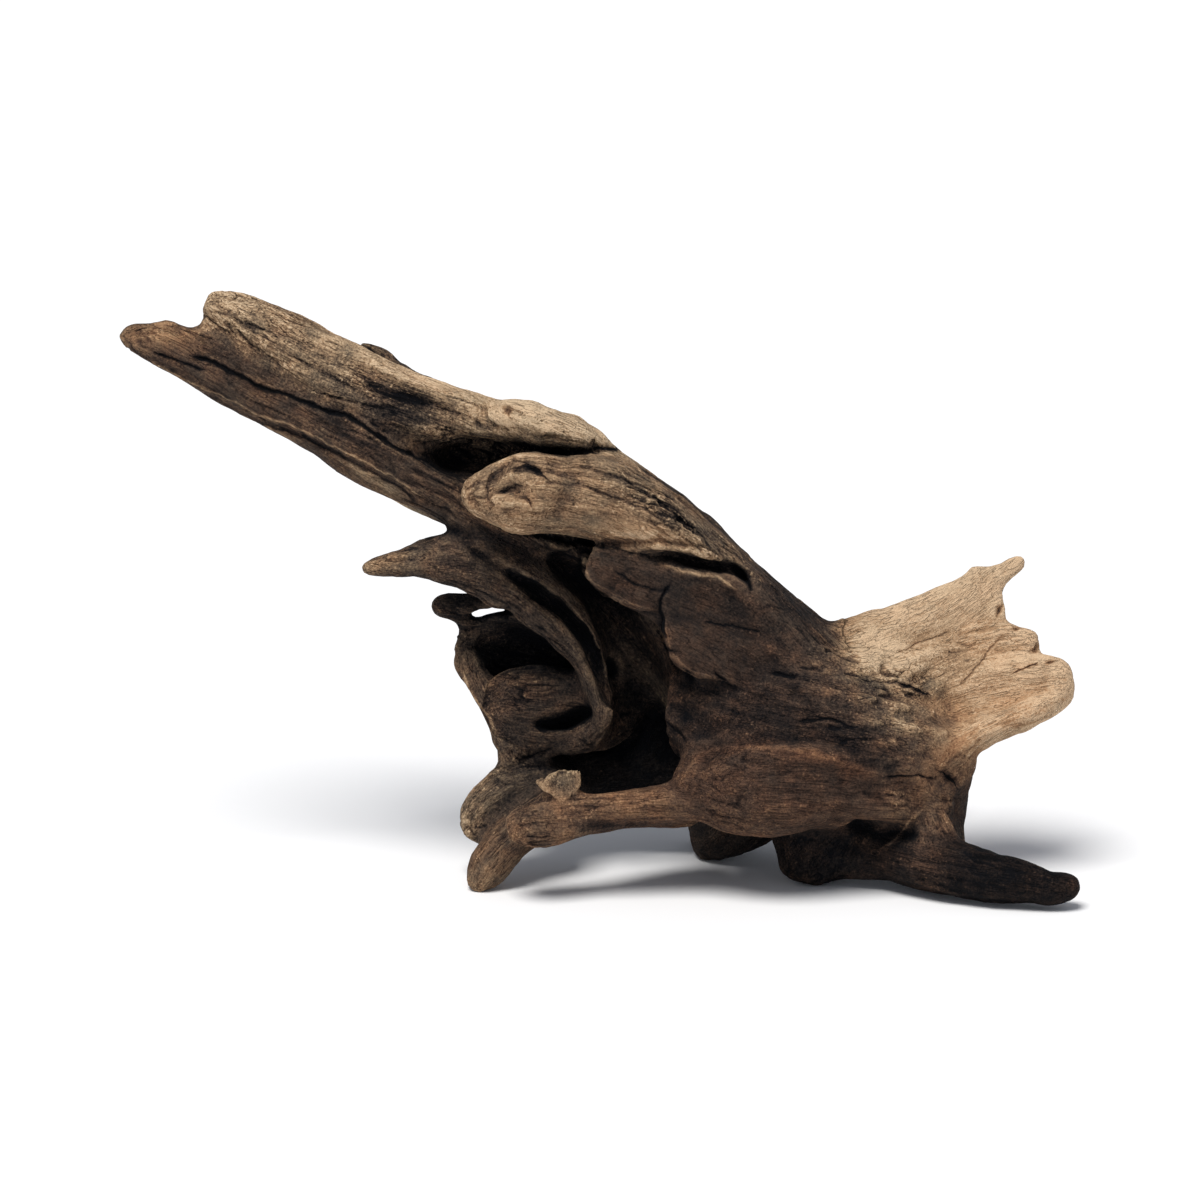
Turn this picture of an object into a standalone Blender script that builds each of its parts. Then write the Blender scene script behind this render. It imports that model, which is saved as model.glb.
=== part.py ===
"""Spiderwood root: one weathered piece of root wood that rests on its lowest points.

The root is drawn limb by limb in a view frame, in millimetres: across (to the right),
back (away from the viewer) and up. The whole is then leaned back onto its feet, so that
the long upper limb rises to the left and the fan spreads to the right.
"""
import math

import bmesh
import bpy
import numpy as np
from mathutils import Matrix, Vector, noise
from mathutils.bvhtree import BVHTree

# Driving dimensions, in millimetres unless a name says otherwise
MM = 0.001
LEAN_DEG = 15.0
FOOT_LEVEL = 8.4
GRID = 1.1
FINAL_GRID = 1.1
FILLET = 1.25
LOFT_STEP = 2.0
LOFT_SIDES = 20
TRIANGLES = 11400
FLUTE_HEIGHT = 2.2
FLUTE_PITCH = 13.0
FLUTE_STRETCH = 6.0
SWELL_HEIGHT = 1.3
SWELL_PITCH = 34.0
NOISE_SEED = (17.3, 4.1, 9.7)

# Colours and finish of the bare wood
WOOD_COLOUR = (0.20, 0.145, 0.10, 1.0)
WOOD_ROUGHNESS = 0.85

# A limb is a row of stations from its root to its tip. Each station is
# (across, back, up, half width, half thickness).
UPPER_LIMB = {
    "lower_beam": [
        (18.5, 6, 81, 10, 12), (3.5, 5, 101, 10, 12), (-13.5, 2, 116, 9.5, 12),
        (-33.5, -3, 130, 9, 11), (-53.5, -7, 139.5, 9.2, 11), (-83.5, -8, 154.5, 9.3, 11),
        (-110, -6, 168.8, 8.6, 10), (-131.5, -4, 180.5, 9, 8), (-142.5, -4, 187, 8.5, 7),
        (-151.5, -3, 189.5, 6.5, 6), (-157, -3, 191, 4, 4.5),
    ],
    "under_blade": [
        (-40, 3, 125, 2.5, 3), (-56, 4, 132.5, 3.2, 3), (-72, 4, 141.5, 4.6, 3), (-86, 3, 151, 3.3, 3),
        (-103.5, 2, 161, 2.2, 2.5), (-121.5, 1, 171.5, 1.4, 2), (-133.5, 0, 176.5, 1, 1.5),
    ],
    "upper_beam": [
        (3.5, -6, 136, 12.5, 16), (-20, -8, 150, 12, 14), (-43.5, -9, 161.5, 9.5, 12),
        (-66.5, -8, 169, 11, 12), (-90, -6, 179, 12, 12), (-108.5, -4, 189, 12, 11),
        (-119.5, -3, 195, 10.5, 9), (-126, -3, 198.5, 7.5, 7),
    ],
    "groove_floor": [
        (-6.5, 6, 129.5, 11.5, 10), (-33.5, 6, 143.5, 9.5, 9), (-56.5, 4, 154, 6.5, 7),
        (-83.5, 2, 165.5, 4, 6), (-106.5, 0, 176.5, 2.5, 5),
    ],
    "crest": [
        (15, -2, 144.5, 2, 5), (4.5, -10, 150, 4, 9), (-9, -16, 156.5, 6.5, 12),
        (-20, -17.5, 160.5, 7, 12), (-27.5, -17, 163.5, 6.3, 10), (-33, -12, 166.2, 3.2, 7),
        (-50, -12, 171, 2.6, 7), (-66.5, -12, 176.2, 2.3, 6),
        (-80, -11, 182, 2.3, 5), (-89.5, -10, 187, 1.5, 3),
    ],
    "back_crest": [
        (-20, 8, 156, 6.5, 9), (-43.5, 11, 166.5, 4.5, 7), (-60, 11, 175, 3.5, 6),
        (-71.5, 10, 183.5, 3.5, 5), (-80, 9, 188, 2.5, 3),
    ],
}

BODY = {
    "trunk": [
        (-20, 2, 154, 7.5, 12), (6.5, 2, 138, 11.5, 20), (26.5, 2, 121, 14, 24),
        (46.5, 2, 99, 16, 27), (66.5, 2, 76, 20, 27), (86.5, 2, 56, 20, 25),
        (105, 2, 37.5, 14, 18),
    ],
    "striated_ridge": [
        (57.5, 0, 95.5, 6.5, 12), (40, -10, 111, 8, 15), (18.5, -17, 127.5, 12, 17),
        (0, -21, 136, 14.5, 17), (-13.5, -26, 138, 14.5, 16), (-25, -30, 138.5, 14.6, 15),
        (-33, -30, 138.5, 13, 13), (-37.5, -29, 138, 8.5, 10),
    ],
    "ridge_shoulder": [
        (-6, -12, 145.5, 4, 12), (10, -11, 138.5, 7.5, 16), (26, -9, 126.5, 7.5, 19),
        (42, -6, 111.5, 9, 21), (58, -4, 94.5, 10.5, 22), (74, -2, 77, 11, 22),
    ],
    "plate_upper": [
        (60, -5, 86, 12.5, 12), (36.5, -18, 97.5, 12.5, 9), (18.5, -25, 106.5, 11, 6),
        (5, -28, 112, 9, 4.5), (-1.5, -29, 114, 6.5, 3.5),
    ],
    "plate_lower": [
        (73.5, -8, 64.5, 13.5, 12), (51.5, -18, 76, 12.5, 9), (37.5, -23, 85, 11.5, 6),
        (28.5, -25, 89.5, 9.5, 4.5), (25, -25, 91, 7, 3.5),
    ],
    "front_wall": [
        (108.5, 0, 52, 15.5, 18), (90, -6, 57.5, 23, 22), (63.5, -9, 61.5, 25, 24),
        (44, -9, 65.5, 24.5, 20), (34, -6, 69.5, 20.5, 15),
    ],
    "wall_foot": [
        (112, -3, 47, 13, 13), (94, -7, 50, 16, 22), (74, -11, 51, 17, 25), (54, -14, 51.5, 17, 24),
        (40, -13, 52.5, 13.5, 17),
    ],
    "belly": [
        (110, -6, 36, 8, 12), (93.5, -12, 35.5, 9, 15), (73.5, -18, 40, 12.5, 16),
        (55, -22, 40.5, 16.5, 16), (41.5, -23, 41.5, 15.5, 14), (34, -22, 42.5, 11.5, 10),
    ],
    "rail": [
        (53.5, -20, 35.5, 6.5, 10), (28.5, -22, 35.5, 6, 9), (16, -22, 35, 5.5, 8),
        (6.5, -24, 34, 5, 7), (-2.5, -25, 33.5, 5, 6), (-11, -25, 33.5, 4.5, 6),
    ],
    "chip": [
        (-13.5, -24, 34, 3, 3), (-13.5, -25, 37.5, 5.5, 2.2), (-13, -26, 41, 7, 1.8),
        (-12, -27, 44.5, 6, 1.6),
    ],
    "left_lobe": [
        (30, -4, 32, 4.5, 8), (13.5, -12, 31.5, 4.5, 8), (-1.5, -20, 30, 5.5, 7),
        (-13, -23, 28.5, 7, 8), (-20, -25, 28.3, 8, 8.5), (-25.5, -25, 28, 6.8, 7.5),
    ],
    "rear_lobe": [
        (-8.5, 16, 39.5, 6.5, 8), (-20, 11, 41.5, 7.5, 8), (-30, 7, 38.8, 8.2, 8),
        (-38.5, 4, 31.5, 8.2, 7.5), (-42.5, 3, 26.5, 6.8, 5),
    ],
    "hollow_back": [
        (50, 22, 92, 12, 10), (38, 24, 74, 14, 9), (26, 25, 58, 15, 8), (14, 24, 46, 12, 8),
    ],
    "hollow_floor": [
        (46.5, 20, 42.5, 13.5, 12), (23.5, 24, 43.5, 13.5, 9), (3.5, 23, 43.5, 11.5, 8),
        (-13.5, 17, 41.5, 9.5, 7), (-23.5, 9, 36, 7, 7),
    ],
}

RIB_AND_SCOOP = {
    "rib": [
        (-10, 3, 53.5, 3.5, 5), (-3.5, 0, 56.5, 5.5, 6.5), (1, -2, 62, 6.5, 7.5), (2, -4, 69.5, 6.5, 8),
        (-4, -5, 84.5, 6.5, 7), (-18.5, -6, 100.5, 8.5, 8), (-35, -7, 111.5, 10, 8),
        (-53.5, -8, 116, 8.5, 7), (-66, -8, 115, 6, 6), (-74, -8, 113.5, 4.5, 4.5),
        (-77.5, -8, 113.5, 3.5, 3.5),
    ],
    "rib_root": [
        (0, 8, 89.5, 6.5, 9), (-20, 4, 106, 6.5, 9), (-38, -2, 119.5, 6.5, 8),
        (-44, -4, 123.5, 3.5, 7),
    ],
    "inner_rib": [
        (33.5, 12, 62.5, 6, 8), (18.5, 12, 76, 4.5, 7), (5, 9, 89.5, 4, 7),
        (-8.5, 4, 102.5, 3.5, 6), (-20, 0, 111, 3.5, 6),
    ],
    "stub": [
        (-13.5, 15, 95.5, 6, 6), (-30, 15, 100.5, 5, 6), (-40, 14, 101.5, 4, 5),
        (-48.5, 13, 100.8, 6, 6), (-53, 12, 100.5, 5.8, 5),
    ],
    "scoop_upper": [
        (8.5, 18, 71.5, 14.5, 9), (-8.5, 22, 75.5, 16, 7), (-25, 23, 81, 16.5, 4.5),
        (-38.5, 21, 83.5, 11.5, 4), (-43, 19, 84, 8.5, 3.5),
    ],
    "scoop_rim": [
        (-33, 17, 94, 3, 4), (-40.5, 16, 93, 3.5, 4.5), (-46, 15, 87, 4.2, 4.5),
        (-44, 13, 79, 4.5, 4.5), (-38.8, 11, 71, 4.5, 4.5), (-33, 9, 61, 4.2, 4.5),
        (-31, 8, 54.5, 3.8, 4.5), (-31, 8, 50, 3.2, 4.5),
    ],
    "scoop_lower": [
        (6.5, 8, 64, 12, 9), (-8, 5, 65, 14.5, 7), (-20, 4.5, 66, 15.5, 6.5),
        (-30, 6, 66.5, 15, 5),
    ],
}

FAN = {
    "fan_top": [
        (73.5, 0, 78, 16, 14), (93.5, 2, 85, 14.5, 8.5), (108.5, 5, 93, 12, 5.5),
        (120.5, 8, 101.5, 9.5, 4.5), (130.5, 9, 108.5, 6.5, 3.5), (137, 9, 113.5, 4.5, 3),
        (141, 9, 116, 4, 2.8),
    ],
    "fan_peak": [
        (117, 7, 101, 3.5, 3.5), (122, 8, 108.5, 2.8, 3), (124.8, 8, 114.3, 2.5, 2.4),
    ],
    "fan_nub": [
        (116.5, 6, 89.5, 4.5, 4), (128, 7, 95.5, 4.5, 3.5), (134.5, 7, 99.5, 3.4, 3),
    ],
    "fan_mid": [
        (83.5, 0, 69.5, 14.5, 13), (106.5, 4, 77.5, 12.5, 7), (124, 7, 83.5, 10, 5),
        (136, 6, 87.5, 7.8, 4), (144.5, 5, 89.2, 4.5, 3),
    ],
    "fan_low": [
        (90, -2, 61, 14.5, 14), (110, 0, 68, 12.5, 8), (130, 1, 72.5, 12, 5.5),
        (146.5, 0, 74.5, 11, 5), (155, 0, 75, 9, 4.2),
    ],
    "fan_neck": [
        (74, -4, 66, 22, 24), (90, -4, 67.5, 21, 18), (102, -1, 71.5, 18, 12.5),
        (114, 3, 76, 16, 9), (124, 6, 81, 12, 6),
    ],
    "fan_rim": [
        (96.5, -6, 41, 13.5, 14), (112, -8, 50.5, 8.6, 10), (125, -8, 58, 5.5, 7.5),
        (138.5, -7, 63, 4.5, 6), (150.5, -4, 68, 3.5, 5),
    ],
}

FEET = {
    "leg": [
        (96.5, 4, 49.5, 18, 18), (107.5, 4, 37, 17.5, 15), (112, 2, 25.5, 10.5, 12),
        (115, -2, 16, 8.5, 10),
    ],
    "spur": [
        (90, -2, 21, 8, 10), (108.5, -15, 16, 10, 10), (125, -24, 12.3, 9.4, 9),
        (140, -28, 9.3, 7.6, 8), (149, -30, 8, 6.5, 7), (153, -30, 8.5, 5.5, 6),
    ],
    "wedge": [
        (107.5, -10, 34.5, 4, 6), (110, -15, 26, 8, 7), (113.5, -17, 16.5, 6.5, 6),
        (115.5, -17, 9.5, 3, 4),
    ],
    "wedge_ridge": [
        (87.5, -8, 23, 3.5, 6), (96.5, -11, 18.5, 3.5, 5), (105, -13, 13, 3, 4),
        (111.5, -14, 8, 2, 3),
    ],
    "heel_blob": [
        (82, -4, 17.5, 8, 9), (90, -7, 15.5, 6.5, 8), (97, -9, 14.5, 5.5, 6), (103, -11, 14, 4, 5),
    ],
    "mid_foot": [
        (83.5, 2, 39.5, 19.5, 14), (76, 0, 27.5, 19.5, 13), (71.5, -2, 19, 16.5, 11),
        (70, -3, 15, 11.5, 8),
    ],
    "back_foot": [
        (56.5, 10, 39.5, 14.5, 12), (44.5, 18, 30, 14, 12), (39.5, 24, 24, 10.5, 10),
        (38, 27, 21, 7.5, 8),
    ],
    "heel": [
        (52, 22, 44, 12, 12), (44, 32, 33, 10, 11), (38, 40, 26.5, 7, 8), (36, 43, 24, 5.5, 6),
    ],
    "left_foot": [
        (-13.5, 2, 35, 7, 8), (-25.5, -4, 26.5, 7.2, 8), (-33, -7, 19.5, 7.2, 7.5),
        (-37.5, -8, 13.5, 7.5, 7), (-39.5, -8, 10.5, 6, 5.5),
    ],
}

BACK = {
    "back_shoulder": [
        (30, 16, 116, 10, 14), (50, 24, 89.5, 12.5, 15), (63.5, 26, 64.5, 14, 15),
        (66.5, 24, 42.5, 12, 13),
    ],
    "back_ridge": [
        (74, 26, 44, 5, 9), (66, 36, 62, 5, 8), (52, 37, 84, 5, 8), (34, 31, 108, 5, 8),
        (12, 24, 128, 4.5, 8), (-14, 16, 146, 4, 7), (-38, 11, 157, 3, 5),
    ],
    "back_root": [
        (66.5, 20, 69.5, 9.5, 12), (83.5, 36, 71.5, 7, 10), (95, 47, 76, 5, 8),
        (101, 53, 80, 3.5, 6),
    ],
    "back_left": [
        (16.5, 16, 96, 10, 12), (5, 26, 82.5, 8.5, 10), (-3.5, 33, 67.5, 6.5, 9),
        (-9.5, 36, 54.5, 4.5, 7),
    ],
}

ALL_LIMBS = {**UPPER_LIMB, **BODY, **RIB_AND_SCOOP, **FAN, **FEET, **BACK}

# Hollows cut into the fused limbs, drawn the same way
HOLLOWS = {
    "crest_cavity": [
        (-26.5, -26, 153, 2, 17), (-36.5, -24, 151.5, 5, 24), (-48.5, -22, 150.5, 7.5, 24),
        (-58, -21, 151.5, 4.5, 19), (-70, -20, 155, 2.2, 14), (-88, -20, 161.5, 1.5, 10),
        (-110, -18, 170.5, 1.3, 8), (-125, -16, 178.5, 1.2, 7), (-137, -14, 184.5, 1, 5),
    ],
    "crest_crack": [
        (-29, -34, 154.5, 2.2, 20), (-19, -34, 152.8, 2.1, 21), (-10, -34, 151.6, 2.0, 20),
        (0, -29, 152.8, 1.8, 16), (10, -22, 152.3, 1.5, 13), (17, -16, 150.5, 1.1, 10),
    ],
    "ridge_slot": [
        (16, -38, 117.5, 1.6, 13), (25, -36, 116.5, 3.2, 17), (35, -31, 114.5, 3.4, 17),
        (45, -27, 112, 2.6, 15), (49.5, -23, 108.5, 2, 12),
    ],
    "main_hollow": [
        (-14, -8, 116, 4, 10), (-2, -8, 106, 6, 13), (7, -6, 94, 8.5, 14), (14, -3, 76, 10, 15),
        (14, -1, 58, 11, 15), (4, -2, 46.5, 8, 13), (-10, -5, 41.5, 4, 9),
    ],
    "rib_groove": [
        (-50, -17, 126, 1.5, 7), (-40, -15, 117.5, 2.4, 8.5), (-24, -13, 107.5, 2.8, 9),
        (-8, -11, 94, 2.8, 9), (-0.5, -10, 80, 2.6, 9), (2.5, -10, 69, 2, 7),
    ],
    "scoop_hole": [
        (-4, 0, 65, 2, 8), (-12, 0, 62, 3, 8.5), (-20, 0, 61.5, 2.5, 8),
    ],
    "fan_bowl": [
        (104, -31, 76, 8, 13), (113, -24, 79.5, 10, 13), (122, -18, 82.5, 10.5, 13),
        (132, -13, 84.5, 9, 11), (142, -9, 85.5, 6, 8),
    ],
    "knob_pit": [
        (-9, -50, 142, 2, 11), (-16, -52, 145, 3, 14), (-23, -50, 146.5, 2.4, 11),
    ],
    "knob_hollow": [
        (-19, -52, 135.5, 3, 8), (-26.5, -53, 138, 5, 12), (-33, -50, 139.5, 4, 11),
    ],
    "back_seam": [
        (74, 44, 56, 2, 9), (60, 47, 72, 3.5, 14), (44, 44, 92, 4, 15), (26, 38, 112, 3, 13),
        (8, 31, 128, 2, 10),
    ],
    "back_knot": [
        (84, 36, 56, 6, 9), (86, 34, 50, 5, 8),
    ],
    "light_slit": [
        (-43, 8, 98, 1.5, 26), (-36, 8, 99.4, 1.9, 30), (-28.5, 8, 99, 1.6, 26),
    ],
    "under_spur": [
        (84, -18, 28, 4, 9), (95, -20, 26, 3.5, 8), (103, -20, 25, 2.5, 6),
    ],
}

# Edges and furrows pressed into the side that faces the viewer. Each is a line of
# (across, up) points. A ledge stands proud on the left of its line's direction.
LEDGES = {
    "upper_plate_edge": [(-5.5, 118), (-5, 111), (-1, 106), (8.5, 100.5), (18.5, 98)],
    "lower_plate_edge": [(20, 98.5), (22, 89.5), (23.5, 82), (30, 77), (40, 74), (48.5, 72.5)],
    "ridge_lower_edge": [(-26.5, 124.5), (-13.5, 121), (0, 120.5), (13.5, 120), (30, 116), (46, 112)],
    "belly_rim": [(88, 51), (74, 56), (56.5, 56), (40, 52), (32, 45)],
    "hood_edge": [(-35.5, 169.5), (-37, 163.5), (-33.5, 157.5), (-23.5, 154)],
    "crest_edge": [(-82.5, 183), (-66.5, 174), (-50, 167.5), (-37, 164.5)],
}
FURROWS = {
    "blade_line": [(-150, 184), (-133, 173.5), (-113, 163.5), (-90, 152.5), (-66, 139), (-52, 128.5)],
    "fan_upper": [(84, 72), (100, 84), (116, 97)],
    "fan_middle": [(88, 66), (108, 78), (128, 90)],
    "fan_lower": [(92, 60), (116, 69), (142, 78)],
    "neck": [(93, 49), (102, 40), (108, 27)],
    "wall_upper": [(24, 70), (32, 62), (40, 57)],
    "trunk_side": [(56, 84), (66, 71), (76, 60)],
}
LEDGE_HEIGHT = 2.2
LEDGE_UNDERCUT = 2.2
LEDGE_FADE = 9.0
LEDGE_SHARPNESS = 1.8
FURROW_DEPTH = 2.0
FURROW_WIDTH = 2.4
STROKE_STEP = 1.0
FRONT_DISTANCE = 200.0


def catmull_rom(before, start, end, after, share):
    """Return the point at share of the way from start to end on a smooth curve."""
    linear = (end - before) * share
    square = (2 * before - 5 * start + 4 * end - after) * share ** 2
    cube = (3 * start - before - 3 * end + after) * share ** 3
    return 0.5 * (2 * start + linear + square + cube)


def dense_stations(stations):
    """Return the stations resampled every LOFT_STEP or so along a smooth curve."""
    given = np.array(stations, dtype=float)
    ends = np.vstack([2 * given[0] - given[1], given, 2 * given[-1] - given[-2]])
    rows = []
    for index in range(len(given) - 1):
        length = np.linalg.norm(given[index + 1, :3] - given[index, :3])
        count = max(2, int(length / LOFT_STEP))
        for step in range(count):
            rows.append(catmull_rom(*ends[index:index + 4], step / count))
    rows.append(given[-1])
    dense = np.array(rows)
    dense[:, 3:5] = np.maximum(dense[:, 3:5], 0.4)
    return dense


def section_axes(centres):
    """Return the tangent, width and thickness directions at each centre."""
    tangent = np.gradient(centres, axis=0)
    tangent /= np.linalg.norm(tangent, axis=1)[:, None]
    width = np.cross(tangent, (0.0, 1.0, 0.0))
    width /= np.maximum(np.linalg.norm(width, axis=1), 1e-6)[:, None]
    return tangent, width, np.cross(tangent, width)


def add_ring(mesh, centre, width, thickness):
    """Add one elliptical ring of vertices to the bmesh and return them."""
    ring = []
    for side in range(LOFT_SIDES):
        angle = 2 * math.pi * side / LOFT_SIDES
        ring.append(mesh.verts.new(centre + width * math.cos(angle) + thickness * math.sin(angle)))
    return ring


def add_loft(mesh, stations):
    """Add one closed limb with rounded ends to the bmesh."""
    dense = dense_stations(stations)
    tangent, width, thickness = section_axes(dense[:, :3])
    cap_angles = [math.radians(angle) for angle in (30, 55, 75)]
    rings = []

    def ring_at(index, along, scale):
        centre = dense[index, :3] + tangent[index] * along
        return add_ring(mesh, centre, width[index] * dense[index, 3] * scale,
                        thickness[index] * dense[index, 4] * scale)

    for angle in reversed(cap_angles):
        rings.append(ring_at(0, -min(dense[0, 3:5]) * math.sin(angle), math.cos(angle)))
    for index in range(len(dense)):
        rings.append(ring_at(index, 0.0, 1.0))
    for angle in cap_angles:
        rings.append(ring_at(-1, min(dense[-1, 3:5]) * math.sin(angle), math.cos(angle)))
    for near, far in zip(rings, rings[1:]):
        for side in range(LOFT_SIDES):
            after = (side + 1) % LOFT_SIDES
            mesh.faces.new((near[side], near[after], far[after], far[side]))
    mesh.faces.new(list(reversed(rings[0])))
    mesh.faces.new(rings[-1])


def object_of_lofts(name, limbs):
    """Return a new object that holds all the given limbs as overlapping closed lofts."""
    mesh = bmesh.new()
    for stations in limbs.values():
        add_loft(mesh, stations)
    bmesh.ops.recalc_face_normals(mesh, faces=mesh.faces)
    data = bpy.data.meshes.new(name)
    mesh.to_mesh(data)
    mesh.free()
    made = bpy.data.objects.new(name, data)
    bpy.context.scene.collection.objects.link(made)
    return made


def add_remesh(target, name, size):
    """Fuse the target's overlapping parts into one skin of small squares."""
    modifier = target.modifiers.new(name, "REMESH")
    modifier.mode = "VOXEL"
    modifier.voxel_size = size


def add_push(target, name, distance):
    """Move the target's skin out along its normals by distance."""
    modifier = target.modifiers.new(name, "DISPLACE")
    modifier.strength = distance
    modifier.mid_level = 0.0


def add_smooth(target, factor, repeats):
    """Relax the target's skin."""
    modifier = target.modifiers.new("relax", "SMOOTH")
    modifier.factor = factor
    modifier.iterations = repeats


def apply_modifiers(target):
    """Replace the target's mesh by its evaluated mesh and clear its modifiers."""
    graph = bpy.context.evaluated_depsgraph_get()
    evaluated = bpy.data.meshes.new_from_object(target.evaluated_get(graph))
    target.modifiers.clear()
    target.data = evaluated


def keep_largest_body(target):
    """Delete every loose scrap of the target's mesh but the largest body."""
    mesh = bmesh.new()
    mesh.from_mesh(target.data)
    unseen = set(mesh.verts)
    bodies = []
    while unseen:
        seed = unseen.pop()
        body = [seed]
        queue = [seed]
        while queue:
            vertex = queue.pop()
            for edge in vertex.link_edges:
                other = edge.other_vert(vertex)
                if other in unseen:
                    unseen.remove(other)
                    body.append(other)
                    queue.append(other)
        bodies.append(body)
    bodies.sort(key=len)
    for body in bodies[:-1]:
        bmesh.ops.delete(mesh, geom=body, context="VERTS")
    mesh.to_mesh(target.data)
    mesh.free()


def fuse_limbs():
    """Return the root's limbs fused into one skin, with soft creases between them."""
    root = object_of_lofts("spiderwood_root", ALL_LIMBS)
    add_remesh(root, "fuse", GRID)
    add_push(root, "grow", FILLET)
    add_remesh(root, "close", GRID)
    add_push(root, "shrink", -FILLET)
    add_remesh(root, "tidy", GRID)
    add_smooth(root, 0.5, 2)
    apply_modifiers(root)
    return root


def cut_hollows(root):
    """Cut the cavities, cracks and pits out of the fused root."""
    cutter = object_of_lofts("hollow_cutter", HOLLOWS)
    cutter.hide_render = True
    cutter.display_type = "WIRE"
    add_remesh(cutter, "fuse", GRID * 0.6)
    apply_modifiers(cutter)
    boolean = root.modifiers.new("hollows", "BOOLEAN")
    boolean.operation = "DIFFERENCE"
    boolean.object = cutter
    add_remesh(root, "even", GRID)
    add_smooth(root, 0.5, 1)
    apply_modifiers(root)
    bpy.data.objects.remove(cutter)


def limb_directions(points):
    """Return the direction of the nearest limb at each point."""
    best = np.full(len(points), np.inf)
    direction = np.zeros_like(points)
    for stations in ALL_LIMBS.values():
        dense = dense_stations(stations)
        tangent = section_axes(dense[:, :3])[0]
        reach = np.sqrt(dense[:, 3] * dense[:, 4])
        for centre, way, radius in zip(dense[::2, :3], tangent[::2], reach[::2]):
            distance = np.linalg.norm(points - centre, axis=1) - radius
            nearer = distance < best
            best[nearer] = distance[nearer]
            direction[nearer] = way
    return direction


def weather_surface(root):
    """Raise flutes along the limbs and slow swellings across them."""
    data = root.data
    count = len(data.vertices)
    points = np.empty(count * 3)
    normals = np.empty(count * 3)
    data.vertices.foreach_get("co", points)
    data.vertices.foreach_get("normal", normals)
    points = points.reshape(-1, 3)
    normals = normals.reshape(-1, 3)
    ways = limb_directions(points)
    along = (points * ways).sum(axis=1)[:, None] * ways
    fluted = (points - along * (1.0 - 1.0 / FLUTE_STRETCH)) / FLUTE_PITCH
    shift = Vector(NOISE_SEED)
    moved = points.copy()
    for index in range(count):
        flute = abs(noise.noise(Vector(fluted[index]) + shift)) - 0.2
        swell = noise.noise(Vector(points[index]) / SWELL_PITCH + shift)
        moved[index] += normals[index] * (FLUTE_HEIGHT * flute + SWELL_HEIGHT * swell)
    data.vertices.foreach_set("co", moved.ravel())
    data.update()


def lay_on_front(tree, line):
    """Return dense 3-D points of the line, laid on the skin that faces the viewer."""
    given = np.array(line, dtype=float)
    ends = np.vstack([2 * given[0] - given[1], given, 2 * given[-1] - given[-2]])
    laid = []
    for index in range(len(given) - 1):
        count = max(2, int(np.linalg.norm(given[index + 1] - given[index]) / STROKE_STEP))
        for step in range(count):
            across, up = catmull_rom(*ends[index:index + 4], step / count)
            start = Vector((across, -FRONT_DISTANCE, up))
            hit = tree.ray_cast(start, Vector((0.0, 1.0, 0.0)))[0]
            if hit is not None:
                laid.append(tuple(hit))
    return np.array(laid)


def nearest_on_stroke(points, laid):
    """Return each point's distance to the stroke, its side, and how near it is to an end."""
    gaps = np.linalg.norm(points[:, None, :] - laid[None, :, :], axis=2)
    nearest = gaps.argmin(axis=1)
    distance = gaps[np.arange(len(points)), nearest]
    way = np.gradient(laid, axis=0)[nearest]
    offset = points - laid[nearest]
    side = np.sign(way[:, 0] * offset[:, 2] - way[:, 2] * offset[:, 0])
    share = nearest / max(1, len(laid) - 1)
    taper = np.clip(np.minimum(share, 1.0 - share) * 6.0, 0.0, 1.0)
    return distance, side, taper


def carve_front(root):
    """Raise the ledges and press the furrows on the side that faces the viewer."""
    data = root.data
    count = len(data.vertices)
    points = np.empty(count * 3)
    normals = np.empty(count * 3)
    data.vertices.foreach_get("co", points)
    data.vertices.foreach_get("normal", normals)
    points = points.reshape(-1, 3)
    facing = np.clip(-1.6 * normals.reshape(-1, 3)[:, 1], 0.0, 1.0)
    mesh = bmesh.new()
    mesh.from_mesh(data)
    tree = BVHTree.FromBMesh(mesh)
    mesh.free()
    lift = np.zeros(count)
    reach = 2.5 * LEDGE_FADE
    for name, line in {**LEDGES, **FURROWS}.items():
        laid = lay_on_front(tree, line)
        inside = ((points > laid.min(axis=0) - reach) & (points < laid.max(axis=0) + reach))
        near = np.flatnonzero(inside.all(axis=1))
        distance, side, taper = nearest_on_stroke(points[near], laid)
        if name in LEDGES:
            proud = LEDGE_HEIGHT * np.clip(distance / LEDGE_SHARPNESS, 0.0, 1.0)
            proud *= np.exp(-distance / LEDGE_FADE)
            under = -LEDGE_UNDERCUT * np.exp(-(distance / (2.0 * LEDGE_SHARPNESS)) ** 2)
            change = np.where(side > 0, proud, under)
        else:
            change = -FURROW_DEPTH * np.exp(-(distance / FURROW_WIDTH) ** 2)
        lift[near] += change * taper
    points[:, 1] -= lift * facing
    data.vertices.foreach_set("co", points.ravel())
    data.update()


def stand_up(root):
    """Lean the root back onto its feet and scale it from millimetres to metres."""
    lean = Matrix.Rotation(math.radians(-LEAN_DEG), 4, "X")
    root.data.transform(Matrix.Scale(MM, 4) @ lean)


def cut_feet(root):
    """Cut the feet flat on one plane, and leave one closed body."""
    mesh = bmesh.new()
    mesh.from_mesh(root.data)
    geometry = mesh.verts[:] + mesh.edges[:] + mesh.faces[:]
    level = FOOT_LEVEL * MM
    cut = bmesh.ops.bisect_plane(mesh, geom=geometry, plane_co=(0, 0, level),
                                 plane_no=(0, 0, -1), clear_outer=True, dist=1e-7)
    rims = [item for item in cut["geom_cut"] if isinstance(item, bmesh.types.BMEdge)]
    bmesh.ops.holes_fill(mesh, edges=rims, sides=0)
    bmesh.ops.triangulate(mesh, faces=mesh.faces)
    mesh.to_mesh(root.data)
    mesh.free()


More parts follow.
